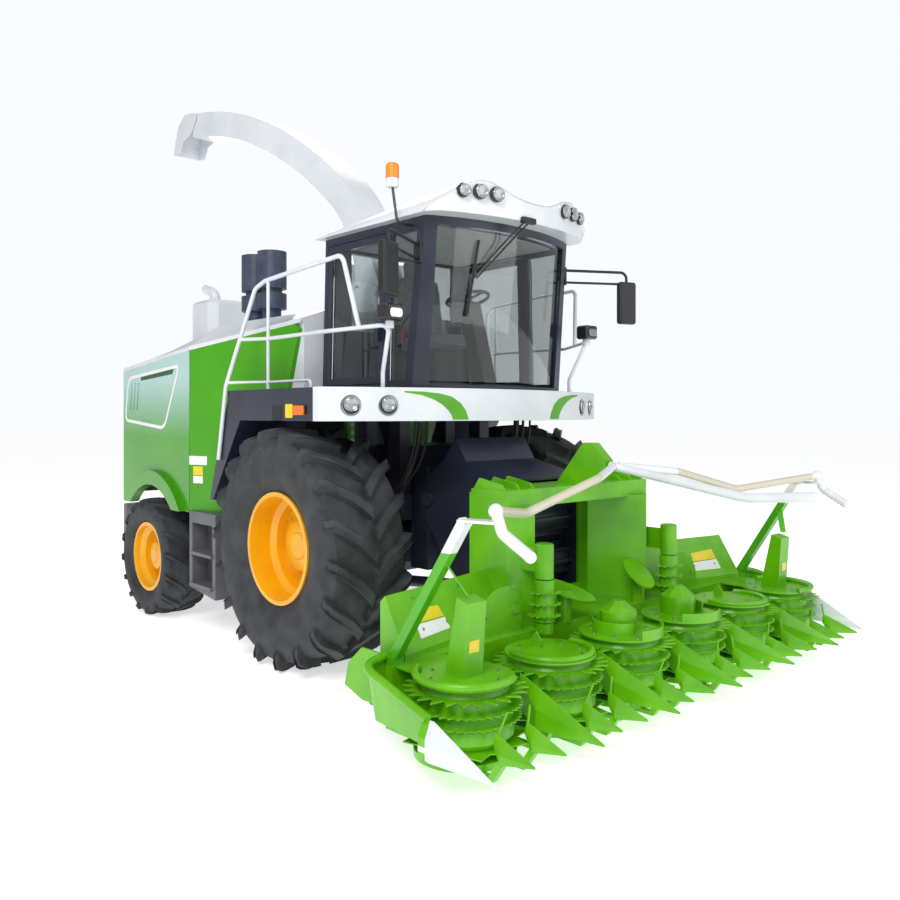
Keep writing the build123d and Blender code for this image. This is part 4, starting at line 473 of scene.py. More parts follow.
# columns: X, Z
border_corners = [(-3.28, 2.49), (-1.93, 2.58), (-2.30, 1.92), (-3.38, 2.00)]
bar_corners = [(-2.92, 2.480), (-2.08, 2.535), (-2.12, 2.485), (-2.92, 2.440)]
for side, hand in ((-1, "right"), (1, "left")):
    body = "engine_door_" + hand
    inwards = (0, -side, 0)
    border = sheet_from([(x, side * door_y, z) for x, z in border_corners], rounding=0.10, line=0.034)
    add_piece("door_border_" + hand, lay(border, body, inwards), white_film[0], body, "green_paint")
    head_bar = sheet_from([(x, side * door_y, z) for x, z in bar_corners])
    add_piece("door_head_bar_" + hand, lay(head_bar, body, inwards), bottle_film[0], body, "green_paint")

# Header: welded and folded plate in lime-green enamel, with six rotors and their covers.
# Its rounded edges are painted paler, a painted highlight.
lime_coat = (("#58A800", "#6EBE08"), 260, 8, 0.35, (0.28, 0.42), 4, "#9BDB55")
lime_enamel = new_material("lime_green_enamel", IOR=1.45, Coat_Weight=0.2, Coat_Roughness=0.12)
mottle(lime_enamel, *lime_coat)
paint_nodes(
    lime_enamel[0],
    "header_frame", "rotor_covers", "transport_drum_left", "transport_drum_right",
    *["rotor_%d" % number for number in range(1, 7)],
)

# Crop points and end guards: pressed plate points, lime like the header, bolted to its front edge.
# The two end snouts are white, and a white line runs along the foot of each guard.


def both(tree, first, second):
    """One where two masks are one, and nought elsewhere."""
    return add_node(tree, "ShaderNodeMath", {0: first, 1: second}, operation="MULTIPLY").outputs[0]


def mask(tree, value, low, high):
    """One where a value lies between two limits, and nought elsewhere."""
    above = add_node(tree, "ShaderNodeMath", {0: value, 1: low}, operation="GREATER_THAN")
    below = add_node(tree, "ShaderNodeMath", {0: value, 1: high}, operation="LESS_THAN")
    return both(tree, above.outputs[0], below.outputs[0])


def axes(parts):
    """Object coordinates of a material as X, distance from the middle plane, and Z."""
    split = split_place(parts)
    aside = add_node(parts[1], "ShaderNodeMath", {0: split["Y"]}, operation="ABSOLUTE")
    return split["X"], aside.outputs[0], split["Z"]


# a limit that lies beyond the machine
far = 99.0
point_enamel = new_material("lime_and_white_point_enamel", IOR=1.45, Coat_Weight=0.2, Coat_Roughness=0.12)
colour = mottle(point_enamel, *lime_coat)
x, aside, z = axes(point_enamel)
tree = point_enamel[1]
snout = both(tree, mask(tree, aside, 2.10, far), mask(tree, x, front_axle_x + 2.66, far))
colour = overpaint(point_enamel, colour, snout, "#DDE3E6")
stripe = both(tree, mask(tree, aside, 2.24, far), mask(tree, z, 0.285, 0.315))
overpaint(point_enamel, colour, stripe, "#E9EEEA")
paint_nodes(point_enamel[0], "crop_points")

# Push bars: bent steel tube that leans the maize forward, on a green arm at each end.
# The tube is white at its ends and middle, with a beige wrap in between.
bar_enamel = new_material("white_green_and_beige_bar_enamel", IOR=1.5, Coat_Weight=0.3, Coat_Roughness=0.15)
colour = mottle(bar_enamel, ("#DCDFE2", "#ECEEF0"), 200, 8, 0.25, (0.30, 0.44), 4, "#F6F6F6")
_, aside, z = axes(bar_enamel)
tree = bar_enamel[1]
arm = both(tree, mask(tree, aside, 1.88, far), mask(tree, z, 0.0, 1.296))
colour = overpaint(bar_enamel, colour, arm, "#4CAB08")
overpaint(bar_enamel, colour, mask(tree, aside, 0.47, 1.90), "#CFC8B4")
paint_nodes(bar_enamel[0], "push_bars")

# Skirts, ballast beam and screen: folded sheet in slate-grey enamel, bolted to the chassis.
# The paint is satin.
grey_enamel = new_material("slate_grey_enamel", IOR=1.5)
mottle(grey_enamel, ("#5C5D63", "#6C6D72"), 300, 8, 0.3, (0.38, 0.52), 5, "#8C8D92")
paint_nodes(grey_enamel[0], "side_skirts", "rear_bumper", "rear_screen")

# Pre-cleaners: blow-moulded slate-blue plastic, clamped on the intake pipes.
# The skin is smooth with a soft sheen.
slate_plastic = new_material("slate_blue_plastic", IOR=1.49)
mottle(slate_plastic, ("#333B4E", "#434D63"), 120, 3, 0.3, (0.36, 0.50), 4, "#6C7893")
paint_nodes(slate_plastic[0], "air_precleaners")

# Mirrors and the steering column: black moulded ABS on bent steel arms.
# Their skin is finely grained.
black_abs = new_material("black_moulded_abs", IOR=1.53)
mottle(black_abs, ("#101114", "#1C1D21"), 90, 2, 0.2, (0.40, 0.58), 2, "#34363B")
paint_nodes(black_abs[0], "mirrors", "steering_column")

# Roof: one white moulding, low at the back, rising to a rolled lip over the windscreen.
# The lip swells over each cluster of lamps and dips between them. It is bolted on the cab frame.


def roof_front(y):
    """Plan line of the brow: an arc bowed forward, with rounded corners."""
    brow_x, bow_radius = 1.365, 2.206
    corner_start, corner_width, corner_depth = 0.82, 0.131, 0.13
    bow = bow_radius - math.sqrt(bow_radius ** 2 - y ** 2)
    corner = max(0.0, abs(y) - corner_start) / corner_width
    return brow_x - bow - corner_depth * (1 - math.sqrt(max(0.0, 1 - corner ** 2)))


def roof_rise(y):
    """Height of the lip above the eave: two swells and a dip between them."""
    dip_height, swell_height, swell_y, swell_width = 0.165, 0.125, 0.54, 0.26
    return dip_height + swell_height * math.exp(-((abs(y) - swell_y) / swell_width) ** 2)


roof_low, roof_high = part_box("cab_roof")
eave_z, rear_x, roof_half = roof_low.z, roof_low.x - front_axle_x, roof_high.y
rear_height = 0.105
roof = bmesh.new()
bmesh.ops.create_grid(roof, x_segments=26, y_segments=44, size=1.0)
for vert in roof.verts:
    share = (vert.co.x + 1) / 2
    # rows crowd towards the sides, where the roof curves down
    y = roof_half * math.sin(math.pi / 2 * vert.co.y)
    shoulder = max(0.0, 1 - abs(y / roof_half) ** 5) ** 0.5
    brow, lip, back = roof_front(y), roof_rise(y) * shoulder, rear_height * shoulder
    # columns: share of the way from the rear foot to the front foot, X, height above the eave
    profile = [
        (0.00, rear_x, 0.0),
        (0.04, rear_x - 0.002, 0.6 * back),
        (0.10, rear_x + 0.06, back),
        (0.42, rear_x + 0.75, 0.52 * back + 0.48 * lip + 0.02 * shoulder),
        (0.72, brow - 0.28, 0.10 * back + 0.90 * lip + 0.02 * shoulder),
        (0.82, brow - 0.03, lip),
        (0.86, brow + 0.020, lip - 0.012 * shoulder),
        (0.90, brow + 0.024, lip - 0.040 * shoulder),
        (0.94, brow - 0.004, lip - 0.070 * shoulder),
        (1.00, brow - 0.012, 0.0),
    ]
    for (s0, x0, z0), (s1, x1, z1) in zip(profile, profile[1:]):
        if s0 <= share <= s1 + 1e-9:
            part = (share - s0) / (s1 - s0)
            vert.co = (front_axle_x + x0 + part * (x1 - x0), y, eave_z + z0 + part * (z1 - z0))
            break
inner = [vert for vert in roof.verts if not vert.is_boundary]
bmesh.ops.smooth_vert(
    roof, verts=inner, factor=0.35, use_axis_x=True, use_axis_y=False, use_axis_z=True,
)
bmesh.ops.remove_doubles(roof, verts=roof.verts[:], dist=0.0002)
bmesh.ops.holes_fill(roof, edges=[edge for edge in roof.edges if edge.is_boundary], sides=0)
bmesh.ops.recalc_face_normals(roof, faces=roof.faces[:])
add_piece("moulded_roof", roof, white_enamel[0], "chassis", "white_paint", "cab_roof", smooth_deg=50)

# Windows: bent tinted safety glass bonded to the cab frame and the doors.
# It is faintly green and very smooth.
glass = new_material("tinted_safety_glass", IOR=1.45, Transmission_Weight=1.0, Roughness=0.0)
_, tree, shader, place = glass
drift = add_node(tree, "ShaderNodeTexNoise", {"Vector": place, "Scale": 1.2, "Detail": 1.0})
tint = add_node(tree, "ShaderNodeValToRGB", {"Fac": drift.outputs["Fac"]})
tint.color_ramp.elements[0].color = linear("#E9F0EF")
tint.color_ramp.elements[1].color = linear("#F2F7F6")
tree.links.new(tint.outputs["Color"], shader.inputs["Base Color"])
paint_nodes(glass[0], "cab_glass", "door_glass_left", "door_glass_right")

# Lamps: black housings with clear lenses over bright reflectors, screwed to the fascia, roof and rails.
# The beacon has an amber lens on a white foot and a bent black stalk. The mirrors have silvered glass.


def rectangle(across, z, wide, tall):
    """Corners of an upright rectangle about its middle, as distance across and height."""
    left, right = across - wide / 2, across + wide / 2
    foot, head = z - tall / 2, z + tall / 2
    return [(left, foot), (right, foot), (right, head), (left, head)]


lamp_shell = new_material("lamp_housing_plastic", IOR=1.53, Coat_Weight=0.3)
colour = mottle(lamp_shell, ("#141519", "#202226"), 90, 2, 0.2, (0.30, 0.45))
z = split_place(lamp_shell)["Z"]
tree = lamp_shell[1]
beacon_foot_z, beacon_lens_z = 3.888, 3.962
colour = overpaint(lamp_shell, colour, mask(tree, z, beacon_foot_z, beacon_lens_z), "#E6E8E8")
overpaint(lamp_shell, colour, mask(tree, z, beacon_lens_z, far), "#F08A12")
paint_nodes(lamp_shell[0], "lamps")

reflector = new_material("bright_lamp_reflector", Metallic=1.0)
mottle(reflector, ("#B9BDC2", "#E4E6E8"), 12, 2, 0.3, (0.10, 0.22))
lens_glass = new_material("clear_lamp_lens", IOR=1.49, Transmission_Weight=0.85, Coat_Weight=0.4)
mottle(lens_glass, ("#E8ECEE", "#F6F8F8"), 30, 6, 0.6, (0.02, 0.10))
backwards, forwards = Vector((-1, 0, 0)), Vector((1, 0, 0))
bowls, lenses = [], []
# columns: distance from the middle plane, height, radius
for y, z, r in [
    (1.18, 2.159, 0.058), (1.45, 2.159, 0.058),
    (0.42, 3.828, 0.056), (0.57, 3.832, 0.056), (0.712, 3.825, 0.050),
]:
    # columns: radius, height above the housing
    bowl = [(0, 0.002), (0.35 * r, 0.003), (0.9 * r, 0.012), (r, 0.014), (r, 0.001), (0, 0.001)]
    lens = [
        (0, 0.026), (0.5 * r, 0.024), (0.88 * r, 0.018), (0.96 * r, 0.013), (0.96 * r, 0.0125), (0, 0.0125),
    ]
    for side in (-1, 1):
        start = Vector((front_axle_x + 3, side * y, z))
        spot, normal, _, _ = surface("lamps").ray_cast(start, backwards)
        bowls.append(turned(bowl, spot, normal))
        lenses.append(turned(lens, spot, normal))
add_piece("lamp_reflectors", join(bowls), reflector[0], "chassis", "lamp")
add_piece("lamp_lenses", join(lenses), lens_glass[0], "chassis", "lamp")
rail_faces, mirror_faces = [], []
for side in (-1, 1):
    face = sheet_from([(1.4, side * y, z) for y, z in rectangle(1.200, 2.856, 0.120, 0.068)], 0.025)
    rail_faces.append(lay(face, "lamps", backwards, 5.0, 4.0))
    face = sheet_from([(0.9, side * y, z) for y, z in rectangle(1.440, 3.135, 0.124, 0.300)], 0.025)
    mirror_faces.append(lay(face, "mirrors", forwards, 2.5, 2.0))
add_piece("rail_lamp_reflectors", join(rail_faces), reflector[0], "chassis", "lamp")
add_piece("mirror_glasses", join(mirror_faces), chrome[0], "chassis", "black_plastic")

# Driver's seat: foam pads in grey woven cloth on a bellows pedestal, bolted to the cab floor.
# The face of each pad is crowned, with sewn channels, and an armrest stands on the left.
seat_cloth = new_material("grey_woven_seat_cloth", Sheen_Weight=0.35, Sheen_Roughness=0.5)
mottle(seat_cloth, ("#5E6166", "#74777C"), 60, 3, 0.8, (0.80, 0.95))
_, tree, shader, place = seat_cloth
# threads are drawn 6 mm apart, coarser than the real cloth, so that they show
thread_mm = 6
thread_wave = {"Vector": place, "Scale": 1000 / thread_mm / 6.283, "Distortion": 0.4}
threads = [
    add_node(tree, "ShaderNodeTexWave", thread_wave, bands_direction=axis).outputs["Fac"]
    for axis in ("Y", "Z")
]
weave = add_node(tree, "ShaderNodeMath", {0: threads[0], 1: threads[1]}, operation="MAXIMUM")
cloth_relief = add_node(
    tree, "ShaderNodeBump", {"Height": weave.outputs[0], "Strength": 0.5, "Distance": 0.0015},
)
tree.links.new(cloth_relief.outputs["Normal"], shader.inputs["Normal"])


def pad(size, centre, lean_deg, channels):
    """Stuffed pad: a rounded block, crowned in the middle, with sewn channels along its face."""
    shape = bmesh.new()
    bmesh.ops.create_cube(shape, size=2.0)
    bmesh.ops.subdivide_edges(shape, edges=shape.edges[:], cuts=19, use_grid_fill=True)
    for vert in shape.verts:
        x, y, z = vert.co
        length = (abs(x) ** 7 + abs(y) ** 7 + abs(z) ** 7) ** (1 / 7)
        x, y, z = x / length, y / length, z / length
        crown = (1 - x * x) * (1 - y * y)
        sewn = sum(math.exp(-(((y if along else x) - line) / 0.045) ** 2) for along, line in channels)
        face = max(0.0, z) ** 3
        vert.co = (
            x * size[0] / 2 * (1 - 0.04 * (1 - y * y)),
            y * size[1] / 2 * (1 - 0.04 * (1 - x * x)),
            (z * (0.86 + 0.14 * crown) - 0.17 * min(sewn, 1.0) * face) * size[2] / 2,
        )
    turn = Matrix.Rotation(math.radians(lean_deg), 4, "Y")
    spot = Matrix.Translation((front_axle_x + centre[0], centre[1], centre[2]))
    bmesh.ops.transform(shape, matrix=spot @ turn, verts=shape.verts[:])
    bmesh.ops.recalc_face_normals(shape, faces=shape.faces[:])
    return shape


def rounded_block(size, centre, turn_deg, rounding):
    """Block with rounded edges, turned about the vertical."""
    shape = bmesh.new()
    bmesh.ops.create_cube(shape, size=1.0)
    bmesh.ops.scale(shape, verts=shape.verts[:], vec=size)
    bmesh.ops.bevel(
        shape, geom=shape.edges[:], offset=rounding, offset_type="OFFSET", affect="EDGES", segments=3,
        profile=0.5, material=-1,
    )
    spot = Matrix.Translation((front_axle_x + centre[0], centre[1], centre[2]))
    turn = Matrix.Rotation(math.radians(turn_deg), 4, "Z")
    bmesh.ops.transform(shape, matrix=spot @ turn, verts=shape.verts[:])
    return shape


def uprights(shape):
    """Edges of a shape that run up it."""
    return [edge for edge in shape.edges if abs(edge.verts[0].co.z - edge.verts[1].co.z) > 0.1]


# top of the cab floor
seat_z = 2.3503
# columns: whether the channel runs along the pad, its place from -1 to 1
long_channels = [(True, -0.56), (True, 0.56), (False, -0.35), (False, 0.0), (False, 0.35)]
# columns: pad, size, centre, lean, sewn channels, fill
for name, size, centre, lean, channels, fill in [
    ("seat_cushion", (0.50, 0.50, 0.135), (0.13, 0, seat_z + 0.390), -4, long_channels, 0.8),
    ("seat_back", (0.59, 0.48, 0.125), (-0.095, 0, seat_z + 0.730), 81, long_channels, 0.8),
    ("seat_headrest", (0.175, 0.28, 0.085), (-0.145, 0, seat_z + 1.088), 84, [(True, 0.0)], 0.9),
    ("seat_armrest", (0.39, 0.10, 0.085), (0.13, 0.33, seat_z + 0.590), 0, [(True, 0.0)], 0.9),
]:
    cushion = add_piece(name, pad(size, centre, lean, channels), seat_cloth[0], "chassis", "seat_fabric")
    if name == "seat_cushion":
        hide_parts("operator_seat")
bellows_height, bellows_folds = 0.32, 6
pedestal = bmesh.new()
bmesh.ops.create_cube(pedestal, size=1.0)
bmesh.ops.scale(pedestal, verts=pedestal.verts[:], vec=(0.30, 0.34, bellows_height))
bmesh.ops.bevel(
    pedestal, geom=uprights(pedestal), offset=0.05, offset_type="OFFSET", affect="EDGES", segments=4,
    profile=0.5, material=-1,
)
bmesh.ops.subdivide_edges(pedestal, edges=uprights(pedestal), cuts=2 * bellows_folds - 1)
for vert in pedestal.verts:
    share = vert.co.z / bellows_height + 0.5
    fold = 1.0 - 0.07 * (1 - math.cos(2 * math.pi * bellows_folds * share)) / 2
    vert.co.x, vert.co.y = vert.co.x * fold, vert.co.y * fold
bmesh.ops.translate(pedestal, verts=pedestal.verts[:], vec=(front_axle_x + 0.13, 0, seat_z + 0.161))
add_piece("seat_bellows", pedestal, black_abs[0], "chassis", "seat_fabric", smooth_deg=50)
arm_post = rounded_block((0.16, 0.06, 0.22), (0.08, 0.29, seat_z + 0.46), 0, 0.014)
add_piece("seat_arm_post", arm_post, black_abs[0], "chassis", "seat_fabric")

# Cab trim: a headliner of pale pressed felt under the roof, and a monitor on a bent arm by the right pillar.
# The monitor is a black case, and the seat's belt ends in a red buckle.


def bent_tube(points, radius):
    """Tube along smooth points, capped at its ends."""
    curve = bpy.data.curves.new("route", "CURVE")
    curve.dimensions = "3D"
    spline = curve.splines.new("NURBS")
    spline.points.add(len(points) - 1)
    for point, (x, y, z) in zip(spline.points, points):
        point.co = (front_axle_x + x, y, z, 1.0)
    spline.order_u = 3
    spline.use_endpoint_u = True
    curve.bevel_depth = radius
    curve.bevel_resolution = 2
    curve.use_fill_caps = True
    holder = bpy.data.objects.new("route", curve)
    mesh = bpy.data.meshes.new_from_object(holder)
    shape = bmesh.new()
    shape.from_mesh(mesh)
    bmesh.ops.remove_doubles(shape, verts=shape.verts[:], dist=0.00005)
    bmesh.ops.recalc_face_normals(shape, faces=shape.faces[:])
    bpy.data.objects.remove(holder)
    bpy.data.curves.remove(curve)
    bpy.data.meshes.remove(mesh)
    return shape


headliner_felt = new_material("pale_headliner_felt", Sheen_Weight=0.2)
mottle(headliner_felt, ("#B9BABA", "#C9CACA"), 80, 3, 0.6, (0.85, 0.95))
liner_x, liner_z = 0.30, 3.606
half_length, half_width = 0.62, 0.71
liner = bmesh.new()
bmesh.ops.create_grid(liner, x_segments=10, y_segments=10, size=1.0)
for vert in liner.verts:
    u, v = vert.co.x, vert.co.y
    bow = 0.10 * (1 - v * v) * (u + 1) / 2
    dome = 0.03 * (1 - u ** 4) * (1 - v ** 4)
    vert.co = (front_axle_x + liner_x + half_length * u + bow, half_width * v, liner_z + dome)
bmesh.ops.solidify(liner, geom=liner.faces[:], thickness=0.012)
add_piece("cab_headliner", liner, headliner_felt[0], "chassis", "seat_fabric", smooth_deg=60)
monitor = [
    rounded_block((0.05, 0.26, 0.19), (0.52, -0.52, 3.02), 28, 0.012),
    bent_tube([(0.50, -0.53, 3.0), (0.46, -0.60, 2.95), (0.40, -0.70, 2.70), (0.38, -0.72, 2.356)], 0.014),
]
add_piece("cab_monitor", join(monitor), black_abs[0], "chassis", "black_plastic")
belt_web = new_material("red_belt_webbing", Sheen_Weight=0.2)
mottle(belt_web, ("#A81C1C", "#C02A26"), 40, 3, 0.5, (0.65, 0.8))
buckle = [
    rounded_block((0.035, 0.022, 0.09), (-0.02, -0.27, seat_z + 0.52), 0, 0.006),
    rounded_block((0.05, 0.012, 0.10), (-0.03, -0.268, seat_z + 0.44), 0, 0.004),
]
add_piece("seat_belt_buckle", join(buckle), belt_web[0], "chassis", "seat_fabric")

# Service lines: black rubber hoses clipped under the platform and run down to the chassis rail.
# Both ends of each go into the machine, and the thick one carries the wiring.
line_rubber = new_material("black_hose_rubber", IOR=1.52)
mottle(line_rubber, ("#151618", "#232427"), 60, 3, 0.4, (0.45, 0.62))
lines = []
# columns: distance from the middle plane, step forward, radius
for y, ahead, radius in [(0.60, 0.0, 0.027), (0.66, 0.03, 0.013), (0.55, 0.05, 0.011), (0.70, 0.08, 0.010)]:
    for side in (-1, 1):
        route = [
            (0.58 + ahead, side * y, 2.236),
            (0.62 + ahead, side * y, 2.00),
            (0.52 + ahead, side * y, 1.66),
            (0.26 + ahead / 2, side * (0.52 + 0.2 * (y - 0.55)), 1.44),
            (0.16 + ahead / 2, side * 0.49, 1.255),
        ]
        lines.append(bent_tube(route, radius))
add_piece("service_lines", join(lines), line_rubber[0], "chassis", "black_plastic")

# Wiper: two thin parallel arms from a motor under the roof's brow, with a blade on the windscreen.
# All of it is black, and it parks on the right side of the screen.


def on_screen(y, z, lift):
    """Point in front of the windscreen, with X from the front axle."""
    start = Vector((front_axle_x + 3, y, z))
    spot = surface("cab_glass").ray_cast(start, backwards)[0]
    return (spot.x - front_axle_x + lift, y, z)


motor_x, motor_z = 1.36, 3.668
wiper = []
for offset in (0.0, 0.05):
    arm_route = [
        (motor_x, -0.05 - offset, motor_z),
        on_screen(-0.10 - offset, 3.54, 0.07),
        on_screen(-0.25 - offset, 3.38, 0.06),
        on_screen(-0.42 - offset / 2, 3.19, 0.035),
    ]
    wiper.append(bent_tube(arm_route, 0.008))
blade_route = [on_screen(-0.41, 3.50, 0.022), on_screen(-0.44, 3.20, 0.024), on_screen(-0.48, 2.88, 0.022)]
wiper.append(bent_tube(blade_route, 0.012))
wiper.append(rounded_block((0.05, 0.16, 0.05), (motor_x, -0.075, motor_z), 0, 0.012))
add_piece("screen_wiper", join(wiper), black_abs[0], "chassis", "black_plastic")

# Fascia stripe: green vinyl cut in a sweep, thin by the lamps and wide where it turns down.
# It is stuck on the white fascia, and the two sides mirror each other.
green_film = new_material("green_vinyl_film", IOR=1.5, Coat_Weight=0.3)
mottle(green_film, ("#469A00", "#54A804"), 150, 4, 0.1, (0.30, 0.42))


def ribbon(upper, lower):
    """Sheet between two lines of points, bridged and smoothed."""
    shape = bmesh.new()
    edges = []
    for line in (upper, lower):
        verts = [shape.verts.new((front_axle_x + x, y, z)) for x, y, z in line]
        edges += [shape.edges.new(pair) for pair in zip(verts, verts[1:])]
    bmesh.ops.bridge_loops(shape, edges=edges)
    bmesh.ops.subdivide_edges(shape, edges=shape.edges[:], cuts=3, smooth=0.8, use_grid_fill=True)
    return shape


# columns: distance from the middle plane, height
sweep_top = [
    (1.06, 2.262), (0.90, 2.258), (0.765, 2.246), (0.66, 2.222),
    (0.575, 2.170), (0.525, 2.105), (0.500, 2.038),
]
sweep_foot = [
    (1.06, 2.252), (0.92, 2.232), (0.82, 2.198), (0.745, 2.158),
    (0.695, 2.115), (0.665, 2.078), (0.650, 2.038),
]
stripes = []
for side in (-1, 1):
    upper, lower = ([(1.3, side * y, z) for y, z in line] for line in (sweep_top, sweep_foot))
    stripes.append(lay(ribbon(upper, lower), "cab_bumper", backwards))
add_piece("fascia_stripes", join(stripes), green_film[0], "chassis", "white_paint")

# Blank stickers and markers: printed vinyl on the header, the fenders and the front panels, left empty.
# The side marker is a block of moulded orange plastic.
yellow_film = new_material("yellow_vinyl_film", IOR=1.5, Coat_Weight=0.3)
mottle(yellow_film, ("#E2C90E", "#F0D822"), 60, 4, 0.1, (0.30, 0.42))
orange_lens = new_material("orange_marker_lens", IOR=1.5, Coat_Weight=0.5)
mottle(orange_lens, ("#E8660A", "#F5821E"), 20, 4, 0.5, (0.15, 0.28))
# each piece's finish and slot
plate_looks = {
    "fender_yellow_plates": (yellow_film, "navy_paint"),
    "fender_orange_plates": (orange_lens, "navy_paint"),
    "fender_black_plates": (black_abs, "navy_paint"),
    "panel_yellow_stickers": (yellow_film, "green_paint"),
    "panel_white_stickers": (white_film, "green_paint"),
}
plates = {name: [] for name in plate_looks}
plate_y = 1.7
for side in (-1, 1):
    # columns: piece, carrier, X, Z, width, height, corner radius, lift and thickness in mm
    for name, carrier, x, z, wide, tall, rounding, lift_mm, thick_mm in [
        ("fender_orange_plates", "platform_deck", 0.351, 2.112, 0.16, 0.075, 0.012, 12.0, 11.0),
        ("fender_yellow_plates", "platform_deck", 0.191, 2.107, 0.11, 0.110, 0.012, 1.5, 1.0),
        ("fender_black_plates", "platform_deck", 0.010, 2.096, 0.15, 0.120, 0.012, 1.5, 1.0),
        ("panel_white_stickers", "side_panels", -1.61, 1.635, 0.22, 0.085, 0.0, 1.5, 1.0),
        ("panel_yellow_stickers", "side_panels", -1.61, 1.535, 0.12, 0.085, 0.0, 1.5, 1.0),
        ("panel_white_stickers", "side_panels", -1.61, 1.450, 0.12, 0.070, 0.0, 1.5, 1.0),
    ]:
        corners = [(px, side * plate_y, pz) for px, pz in rectangle(x, z, wide, tall)]
        plates[name].append(lay(sheet_from(corners, rounding), carrier, (0, -side, 0), lift_mm, thick_mm))
for name, (finish, slot) in plate_looks.items():
    add_piece(name, join(plates[name]), finish[0], "chassis", slot)

# columns: X, distance from the middle plane, height
yellow_corners = [(1.920, 1.800, 0.840), (1.880, 1.530, 0.825), (1.915, 1.510, 0.757), (1.972, 1.800, 0.762)]
white_corners = [(1.975, 1.800, 0.754), (1.918, 1.508, 0.749), (1.952, 1.490, 0.680), (2.022, 1.800, 0.675)]
header_yellow, header_white = [], []
for side in (-1, 1):
    for films, corners in ((header_yellow, yellow_corners), (header_white, white_corners)):
        film = sheet_from([(x, side * y, z) for x, y, z in corners])
        films.append(lay(film, "header_frame", (-0.84, side * 0.18, -0.51), start=0.10))
    film = sheet_from([(2.9, side * y, z) for y, z in rectangle(1.88, 0.755, 0.08, 0.07)])
    header_yellow.append(lay(film, "rotor_covers", backwards, start=0.5))
add_piece("header_yellow_stickers", join(header_yellow), yellow_film[0], "header", "green_paint")
add_piece("header_white_stickers", join(header_white), white_film[0], "header", "green_paint")

# Fasteners: zinc-plated steel bolts on the rotor covers and the header's deck, and rivets along the spout.
# Each head sits on its plate.
zinc = new_material("zinc_plated_steel", Metallic=1.0)
mottle(zinc, ("#9EA0A0", "#BCBDBA"), 15, 2, 0.1, (0.28, 0.42))
row_pitch, rotor_x = 0.75, front_axle_x + 2.5
cover_circle, cover_bolts = 0.21, 8
heads = []
for number in range(6):
    rotor_y = (number - 2.5) * row_pitch
    for spoke in range(cover_bolts):
        angle = 2 * math.pi * (spoke + 0.5) / cover_bolts
        x, y = rotor_x + cover_circle * math.cos(angle), rotor_y + cover_circle * math.sin(angle)
        spot, normal, _, _ = surface("rotor_covers").ray_cast(Vector((x, y, 2.0)), Vector((0, 0, -1)))
        # only the flat of a cover takes a bolt
        if spot and normal.z > 0.85 and spot.z < 0.75:
            heads.append(bolt(spot, normal, 0.013))
deck_pitch = 0.25
# the deck's middle is open
for step in [*range(-8, -2), *range(3, 9)]:
    for z in (0.72, 0.90):
        start = Vector((front_axle_x + 2.40, step * deck_pitch, z))
        spot, normal, _, _ = surface("header_frame").ray_cast(start, backwards)
        if spot and normal.x > 0.7:
            heads.append(bolt(spot, normal, 0.012))
add_piece("header_bolts", join(heads), zinc[0], "header", "green_paint")
rivet_pitch, rivet_inset = 0.125, 0.028
rivets = []
for step in range(26):
    x = front_axle_x - 1.05 - rivet_pitch * step
    # columns: height that the search starts from, its direction
    for begin, dive in ((9.0, -1), (2.0, 1)):
        skin = surface("spout_skins").ray_cast(Vector((x, 0, begin)), Vector((0, 0, dive)))[0]
        if skin is None:
            continue
        for side in (-1, 1):
            start = Vector((x, side * 1.0, skin.z + dive * rivet_inset))
            spot, normal, _, _ = surface("spout_sides").ray_cast(start, Vector((0, -side, 0)))
            if spot:
                rivets.append(turned([(0, 0.005), (0.006, 0.004), (0.010, 0.0)], spot, normal, 10))
add_piece("spout_rivets", join(rivets), white_enamel[0], "spout", "white_paint")

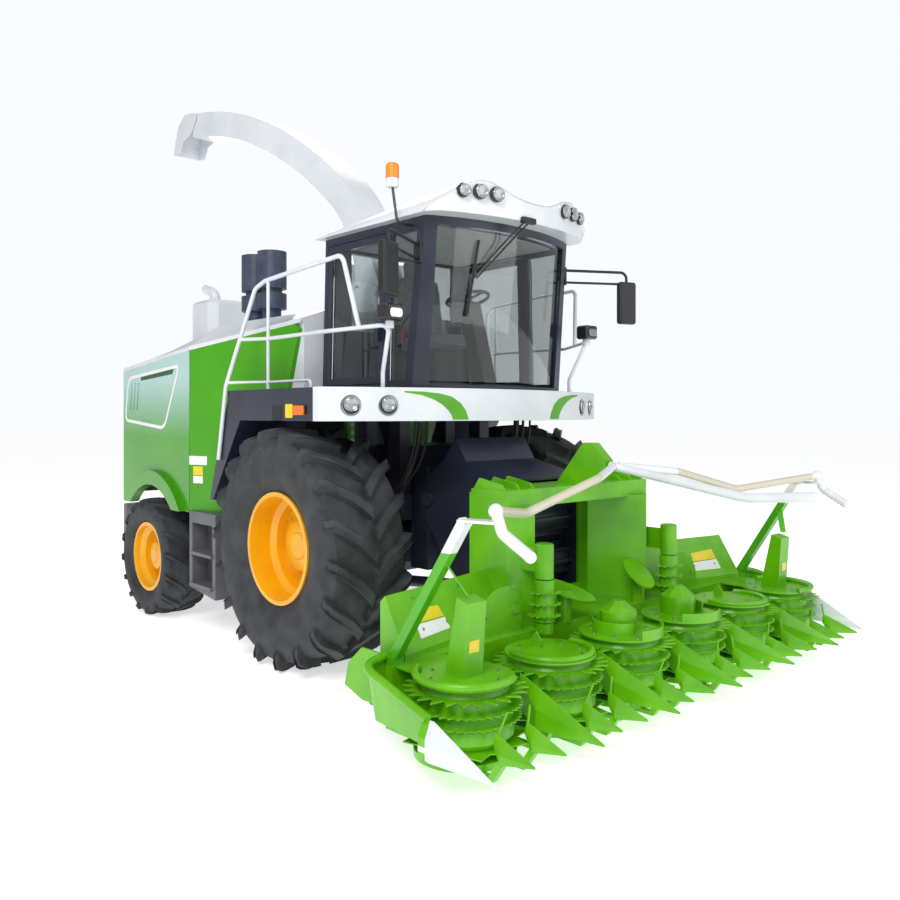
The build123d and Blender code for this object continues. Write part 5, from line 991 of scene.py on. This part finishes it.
# Studio: a white floor that runs out of sight, and three soft lamps.
# Their light is even, as under a bright overcast sky.
floor_mesh = bpy.data.meshes.new("floor")
floor = bpy.data.objects.new("floor", floor_mesh)
bpy.context.scene.collection.objects.link(floor)
ground = bmesh.new()
bmesh.ops.create_grid(ground, x_segments=1, y_segments=1, size=160.0)
ground.to_mesh(floor_mesh)
ground.free()
floor_finish = new_material("pale_studio_floor", Roughness=0.9, Specular_IOR_Level=0.0, Emission_Strength=0.6)
floor_finish[2].inputs["Base Color"].default_value = linear("#F4F4F4")
floor_finish[2].inputs["Emission Color"].default_value = linear("#FFFFFF")
floor_mesh.materials.append(floor_finish[0])

world = bpy.data.worlds.new("studio")
world.use_nodes = True
backdrop = world.node_tree.nodes["Background"]
backdrop.inputs["Color"].default_value = linear("#FAFCFF")
# the backdrop shows white, and lights the machine with less
seen = add_node(world.node_tree, "ShaderNodeLightPath").outputs["Is Camera Ray"]
glow = add_node(world.node_tree, "ShaderNodeMapRange", {"Value": seen, "To Min": 0.42, "To Max": 1.0})
world.node_tree.links.new(glow.outputs["Result"], backdrop.inputs["Strength"])
bpy.context.scene.world = world
bpy.context.scene.view_settings.view_transform = "Standard"


def soft_lamp(name, place, target, size, power):
    """Square area lamp that faces a point."""
    lamp = bpy.data.lights.new(name, "AREA")
    lamp.size = size
    lamp.energy = power
    holder = bpy.data.objects.new(name, lamp)
    bpy.context.scene.collection.objects.link(holder)
    holder.location = place
    holder.rotation_euler = (Vector(target) - Vector(place)).to_track_quat("-Z", "Y").to_euler()


soft_lamp("key", (7.0, -9.0, 10.0), (0.5, 0, 1.5), 6.0, 1050)
soft_lamp("fill", (10.0, 4.0, 6.0), (1.0, 0, 1.5), 8.0, 260)
soft_lamp("back", (-8.0, 6.0, 9.0), (0, 0, 2.0), 8.0, 420)

# Camera: level and about two metres up, in front of the header's right end.
# Its lens is shifted down, so that upright edges stay upright as in the photograph.
camera_data = bpy.data.cameras.new("camera")
camera_data.sensor_width = 36.0
camera_data.lens = 34.0
camera_data.shift_y = -0.0403
camera = bpy.data.objects.new("camera", camera_data)
camera.location = (front_axle_x + 6.063, -5.266, 2.085)
camera.rotation_euler = (math.radians(90), 0, math.radians(47.44))
bpy.context.scene.collection.objects.link(camera)
bpy.context.scene.camera = camera
